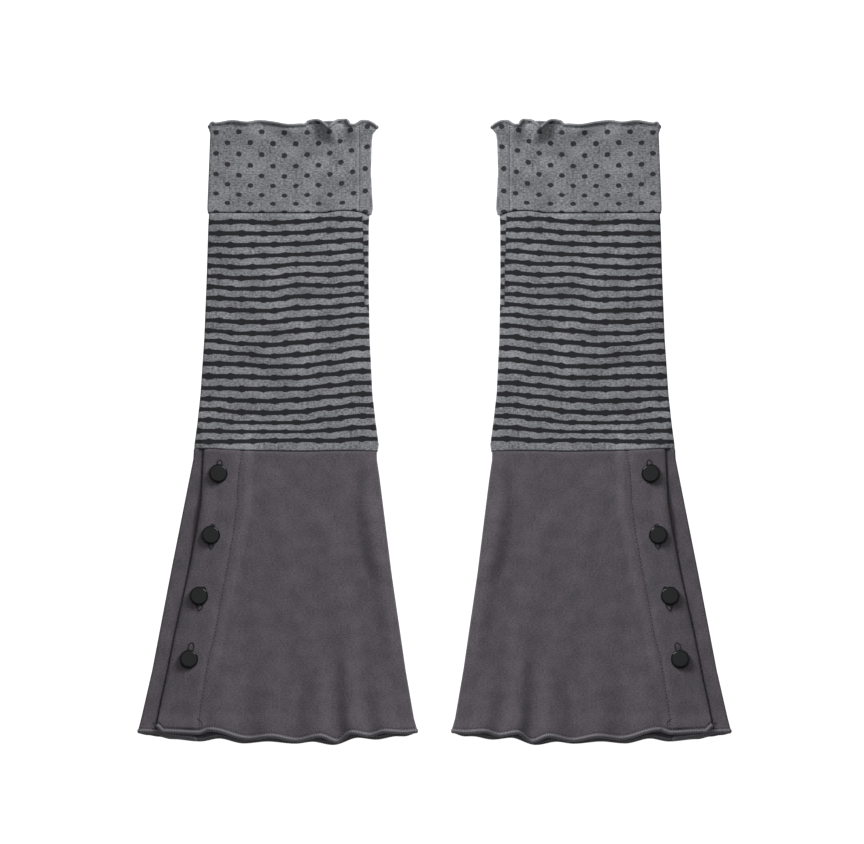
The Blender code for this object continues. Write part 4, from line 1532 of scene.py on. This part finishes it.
def seam_path(side, ring):
    """A line in the groove at one of the tube's ends, all the way round."""
    path = []
    for layer in tube.layers():
        if "fold" in layer:
            for share in fold_shares(PATH_FOLD_STEPS):
                across, up, z = tube.fold_point(layer, share, ring)
                inward = SUNK_IN_FOLD * math.sin(math.pi * share)
                off_table = max(z, SEAM_SHADE_RADIUS)
                path.append(to_world(side, across + (inward if across < 0.0 else -inward), up, off_table))
            continue
        raised = SEAM_SHADE_RADIUS if layer == "back" else -SUNK_IN_SEAM
        for share in spaced(0.0, 1.0, SEAM_PATH_STEPS):
            across, up, face = tube.flat_point(layer, share, ring)
            path.append(to_world(side, across, up, face + raised))
    return evenly(path, SEAM_SHADE_STEP, closed=True)


# Painted shade in each cross seam's groove
for word, side in SIDES:
    for part, ring in CROSS_SEAMS:
        cage = bmesh.new()
        add_thread(cage, seam_path(side, ring), SEAM_SHADE_RADIUS, SEAM_SHADE_SIDES, ALONG_LEG, closed=True)
        add_piece(word, part, cage, SEAM_SHADE)

# The cuff's ruffled upper edge is rolled and overlocked like the hem, all the way round.
# Its thread is the melange's lighter grey, so the painted highlight along the roll's upper side stands out
# less.
# The cuff thread's dark colour also paints the roll's underside shade.
CUFF_THREAD_DARK_AND_SHADE = grey(66, 67, 71)
CUFF_THREAD_LIGHT = grey(126, 127, 131)
CUFF_ROLL_PAINTED_HIGHLIGHT = grey(136, 137, 141)
CUFF_ROLL_HIGHLIGHT_SHARE = 0.4
CUFF_THREAD = thread_material(
    "cuff overlock thread", CUFF_THREAD_DARK_AND_SHADE, CUFF_THREAD_LIGHT, OVERLOCK_PITCH, CUFF_ROLL_PAINTED_HIGHLIGHT, CUFF_ROLL_HIGHLIGHT_SHARE
)
for word, side in SIDES:
    cage = bmesh.new()
    path = roll_path(cuff, side, CUFF_TOP - ROLL_RADIUS, closed=True)
    add_thread(cage, path, overlocked, ROLL_SIDES, ALONG_LEG, closed=True)
    add_piece(word, "cuff_roll", cage, CUFF_THREAD)

# The buttonholes: a slit in the facing along the buttoned edge, with its rim in close dark satin stitches.
# Along the slit lies a sunk dark tube in the rim's thread colour, painted shade standing in for the shade
# inside the opening.
# Two lighter ends of the button's own thread lie in the slit.
HOLE_HALF_WIDTH = 2.1
HOLE_TAPER = 3.8
HOLE_RIM_RAISED = 0.2
HOLE_RIM_RADIUS = 0.6
HOLE_RIM_STEP = 0.2
HOLE_RIM_TURN_STEPS = 12
SATIN_PITCH = 0.8
SATIN_RELIEF = 0.14
SLIT_SHADE_RADIUS = 1.2
SLIT_SHADE_RAISED = -0.95
SLIT_START = 1.4
SLIT_END = 2.2
SLIT_STEPS = 12
SLIT_PATH_STEP = 1.0
SHANK_THREAD_RADIUS = 0.26
SHANK_THREAD_TWIST = 0.7
SHANK_THREAD_OFFSETS = (-0.75, 0.8)
SHANK_THREAD_START = 1.3
SHANK_THREAD_RAISED = 0.3
SHANK_THREAD_ARCH = 0.25
SHANK_THREAD_STEPS = 24
Buttonhole = namedtuple("Buttonhole", "top_across top_up bottom_across bottom_up")
BUTTONHOLES = (
    Buttonhole(54.9, 220.2, 56.5, 201.2),
    Buttonhole(60.8, 168.8, 62.2, 149.0),
    Buttonhole(67.7, 118.8, 71.8, 99.5),
    Buttonhole(77.2, 74.1, 80.9, 55.2),
)
RIM_THREAD_AND_SLIT_SHADE = thread_material("buttonhole thread and slit shade", grey(16, 16, 18), grey(40, 40, 43), SATIN_PITCH)
SHANK_THREAD = thread_material("button thread", grey(58, 58, 62), grey(116, 116, 121), SHANK_THREAD_TWIST)


def hole_path(side, hole, shape):
    """Points on the facing by a buttonhole's middle line, from a shape's (along, beside, raised)."""
    run_across = hole.bottom_across - hole.top_across
    run_up = hole.bottom_up - hole.top_up
    length = math.hypot(run_across, run_up)
    path = []
    for along, beside, raised in shape(length):
        across = hole.top_across + (run_across * along - run_up * beside) / length
        up = hole.top_up + (run_up * along + run_across * beside) / length
        path.append(to_world(side, across, up, flare.outer_face("front", across, up, up) + raised))
    return path


def rim_shape(length):
    corners = []
    for share in spaced(-1.0, 1.0, HOLE_RIM_TURN_STEPS):
        beside = HOLE_HALF_WIDTH * math.sin(0.5 * math.pi * share)
        corners.append((HOLE_TAPER * share * share, beside, HOLE_RIM_RAISED))
    for share in spaced(1.0, -1.0, HOLE_RIM_TURN_STEPS):
        beside = HOLE_HALF_WIDTH * math.sin(0.5 * math.pi * share)
        corners.append((length - HOLE_TAPER * abs(share), beside, HOLE_RIM_RAISED))
    return corners


def shank_thread_shape(offset):
    def shape(length):
        points = []
        for share in spaced(0.0, 1.0, SHANK_THREAD_STEPS):
            arch = math.sin(math.pi * share)
            along = SHANK_THREAD_START + share * (length - 2.0 * SHANK_THREAD_START)
            points.append((along, offset * arch ** 0.5, SHANK_THREAD_RAISED + SHANK_THREAD_ARCH * arch))
        return points

    return shape


def slit_shade_shape(length):
    return [(along, 0.0, SLIT_SHADE_RAISED) for along in spaced(SLIT_START, length - SLIT_END, SLIT_STEPS)]


def satin(along_mm, turn):
    return HOLE_RIM_RADIUS * (1.0 + SATIN_RELIEF * math.cos(2.0 * math.pi * along_mm / SATIN_PITCH))


UPWARD = Vector((0.0, 0.0, 1.0))
for word, side in SIDES:
    for number, hole in enumerate(BUTTONHOLES, start=1):
        cage = bmesh.new()
        rim = evenly(hole_path(side, hole, rim_shape), HOLE_RIM_STEP, closed=True)
        slit = evenly(hole_path(side, hole, slit_shade_shape), SLIT_PATH_STEP)
        add_thread(cage, rim, satin, FINE_THREAD_SIDES, UPWARD, closed=True)
        # Painted shade: a dark tube sunk along the slit stands in for the shade inside the opening.
        add_thread(cage, slit, SLIT_SHADE_RADIUS, FINE_THREAD_SIDES, UPWARD)
        add_piece(word, f"buttonhole_{number}", cage, RIM_THREAD_AND_SLIT_SHADE)
        cage = bmesh.new()
        for offset in SHANK_THREAD_OFFSETS:
            path = hole_path(side, hole, shank_thread_shape(offset))
            add_thread(cage, path, SHANK_THREAD_RADIUS, FINE_THREAD_SIDES, UPWARD)
        add_piece(word, f"button_thread_{number}", cage, SHANK_THREAD)

# The buttons: turned black plastic discs with a flat satin face and a rounded rim.
# Each hangs on a thread shank through its buttonhole, so it stands off the cloth and leans a little.
Button = namedtuple("Button", "across up lean_out lean_down")
BUTTONS = (
    Button(56.4, 209.3, -5.0, -4.0),
    Button(62.4, 160.1, -6.0, -3.0),
    Button(71.9, 111.4, -5.0, -4.0),
    Button(79.9, 60.9, -6.0, -3.0),
)
BUTTON_SIDES = 64
BUTTON_SEAT = 0.25
BUTTON_DARK = grey(8, 9, 10)
BUTTON_LIGHT = grey(18, 19, 21)
SATIN_ROUGHNESS = 0.1
ROUGHNESS_SPREAD = 0.06
Profile = namedtuple("Profile", "radius z")
BUTTON_PROFILE = (
    Profile(0.0, 3.1),
    Profile(3.5, 3.1),
    Profile(5.9, 3.1),
    Profile(6.15, 3.06),
    Profile(6.4, 2.97),
    Profile(6.65, 2.84),
    Profile(6.85, 2.66),
    Profile(7.05, 2.36),
    Profile(7.2, 1.98),
    Profile(7.35, 1.5),
    Profile(7.45, 1.0),
    Profile(7.5, 0.6),
    Profile(7.4, 0.4),
    Profile(7.0, 0.2),
    Profile(6.2, 0.06),
    Profile(4.2, 0.02),
    Profile(2.5, 0.0),
    Profile(2.15, -0.15),
    Profile(2.0, -0.35),
    Profile(2.2, -0.6),
    Profile(0.0, -0.7),
)

BUTTON_BLACK = bpy.data.materials.new("black button")
BUTTON_BLACK.use_nodes = True
tree = BUTTON_BLACK.node_tree
shader = tree.nodes["Principled BSDF"]
shader.inputs["Specular IOR Level"].default_value = 0.15
place = add_node(tree, "ShaderNodeTexCoord").outputs["Object"]
grain = add_node(tree, "ShaderNodeTexNoise", Vector=place)
grain.inputs["Scale"].default_value = 900.0
cloud = add_node(tree, "ShaderNodeTexNoise", Vector=place)
cloud.inputs["Scale"].default_value = 120.0
roughness = math_node(tree, "MULTIPLY_ADD", cloud.outputs["Fac"], ROUGHNESS_SPREAD, SATIN_ROUGHNESS)
tree.links.new(roughness, shader.inputs["Roughness"])
black = mix_colour(tree, cloud.outputs["Fac"], BUTTON_DARK, BUTTON_LIGHT)
tree.links.new(black, shader.inputs["Base Color"])
bump = add_node(tree, "ShaderNodeBump", Height=grain.outputs["Fac"])
bump.inputs["Strength"].default_value = 0.12
bump.inputs["Distance"].default_value = 0.00005
tree.links.new(bump.outputs[0], shader.inputs["Normal"])


def turned_disc():
    """The button's profile turned a full turn about its own axis."""
    cage = bmesh.new()
    corners = [cage.verts.new((row.radius * MM, 0.0, row.z * MM)) for row in BUTTON_PROFILE]
    edges = [cage.edges.new(pair) for pair in zip(corners, corners[1:])]
    bmesh.ops.spin(
        cage,
        geom=corners + edges,
        cent=(0.0, 0.0, 0.0),
        axis=(0.0, 0.0, 1.0),
        angle=2.0 * math.pi,
        steps=BUTTON_SIDES,
        use_merge=True,
    )
    bmesh.ops.remove_doubles(cage, verts=cage.verts, dist=SAME_PLACE)
    bmesh.ops.recalc_face_normals(cage, faces=cage.faces)
    return cage


for word, side in SIDES:
    for number, button in enumerate(BUTTONS, start=1):
        seat = flare.outer_face("front", button.across, button.up, button.up) + BUTTON_SEAT
        lean = (math.radians(button.lean_down), side * math.radians(button.lean_out), 0.0)
        place = Matrix.Translation(to_world(side, button.across, button.up, seat))
        pose = place @ Euler(lean).to_matrix().to_4x4()
        cage = turned_disc()
        bmesh.ops.transform(cage, matrix=pose, verts=cage.verts)
        disc = add_piece(word, f"button_{number}_disc", cage, BUTTON_BLACK)
        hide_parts(f"{word}_button_{number}")

# Loose ends of the dark sewing thread, cut short after the sewing:
# one where the topstitching ends at the hem, and one at the lap's corner.
LOOSE_RADIUS = 0.18
LOOSE_STEP = 0.4
CUT_SHARE = 0.25
Bend = namedtuple("Bend", "across up raised")
LOOSE_ENDS = (
    (
        Bend(73.6, 13.6, 0.0),
        Bend(72.0, 13.0, 0.1),
        Bend(69.6, 11.2, 0.2),
        Bend(69.0, 8.2, 0.2),
        Bend(71.0, 4.8, 0.0),
    ),
    (
        Bend(109.3, 10.1, 0.1),
        Bend(107.9, 9.6, 0.3),
        Bend(106.6, 9.2, 0.5),
        Bend(105.4, 8.3, 0.2),
    ),
)


def rounded(path, rounds=3):
    """The path with its corners cut off, again and again."""
    for _ in range(rounds):
        cut = [path[0]]
        for near, far in zip(path, path[1:]):
            cut += [near.lerp(far, CUT_SHARE), near.lerp(far, 1.0 - CUT_SHARE)]
        path = cut + [path[-1]]
    return path


for word, side in SIDES:
    for number, bends in enumerate(LOOSE_ENDS, start=1):
        path = []
        for bend in bends:
            layer = "lap" if bend.across > read(LAP_EDGE, bend.up, "across") else "front"
            height = flare.outer_face(layer, bend.across, bend.up, bend.up) + bend.raised + LOOSE_RADIUS
            path.append(to_world(side, bend.across, bend.up, height))
        cage = bmesh.new()
        add_thread(cage, evenly(rounded(path), LOOSE_STEP), LOOSE_RADIUS, FINE_THREAD_SIDES, UPWARD)
        add_piece(word, f"loose_thread_{number}", cage, STITCH_THREAD)
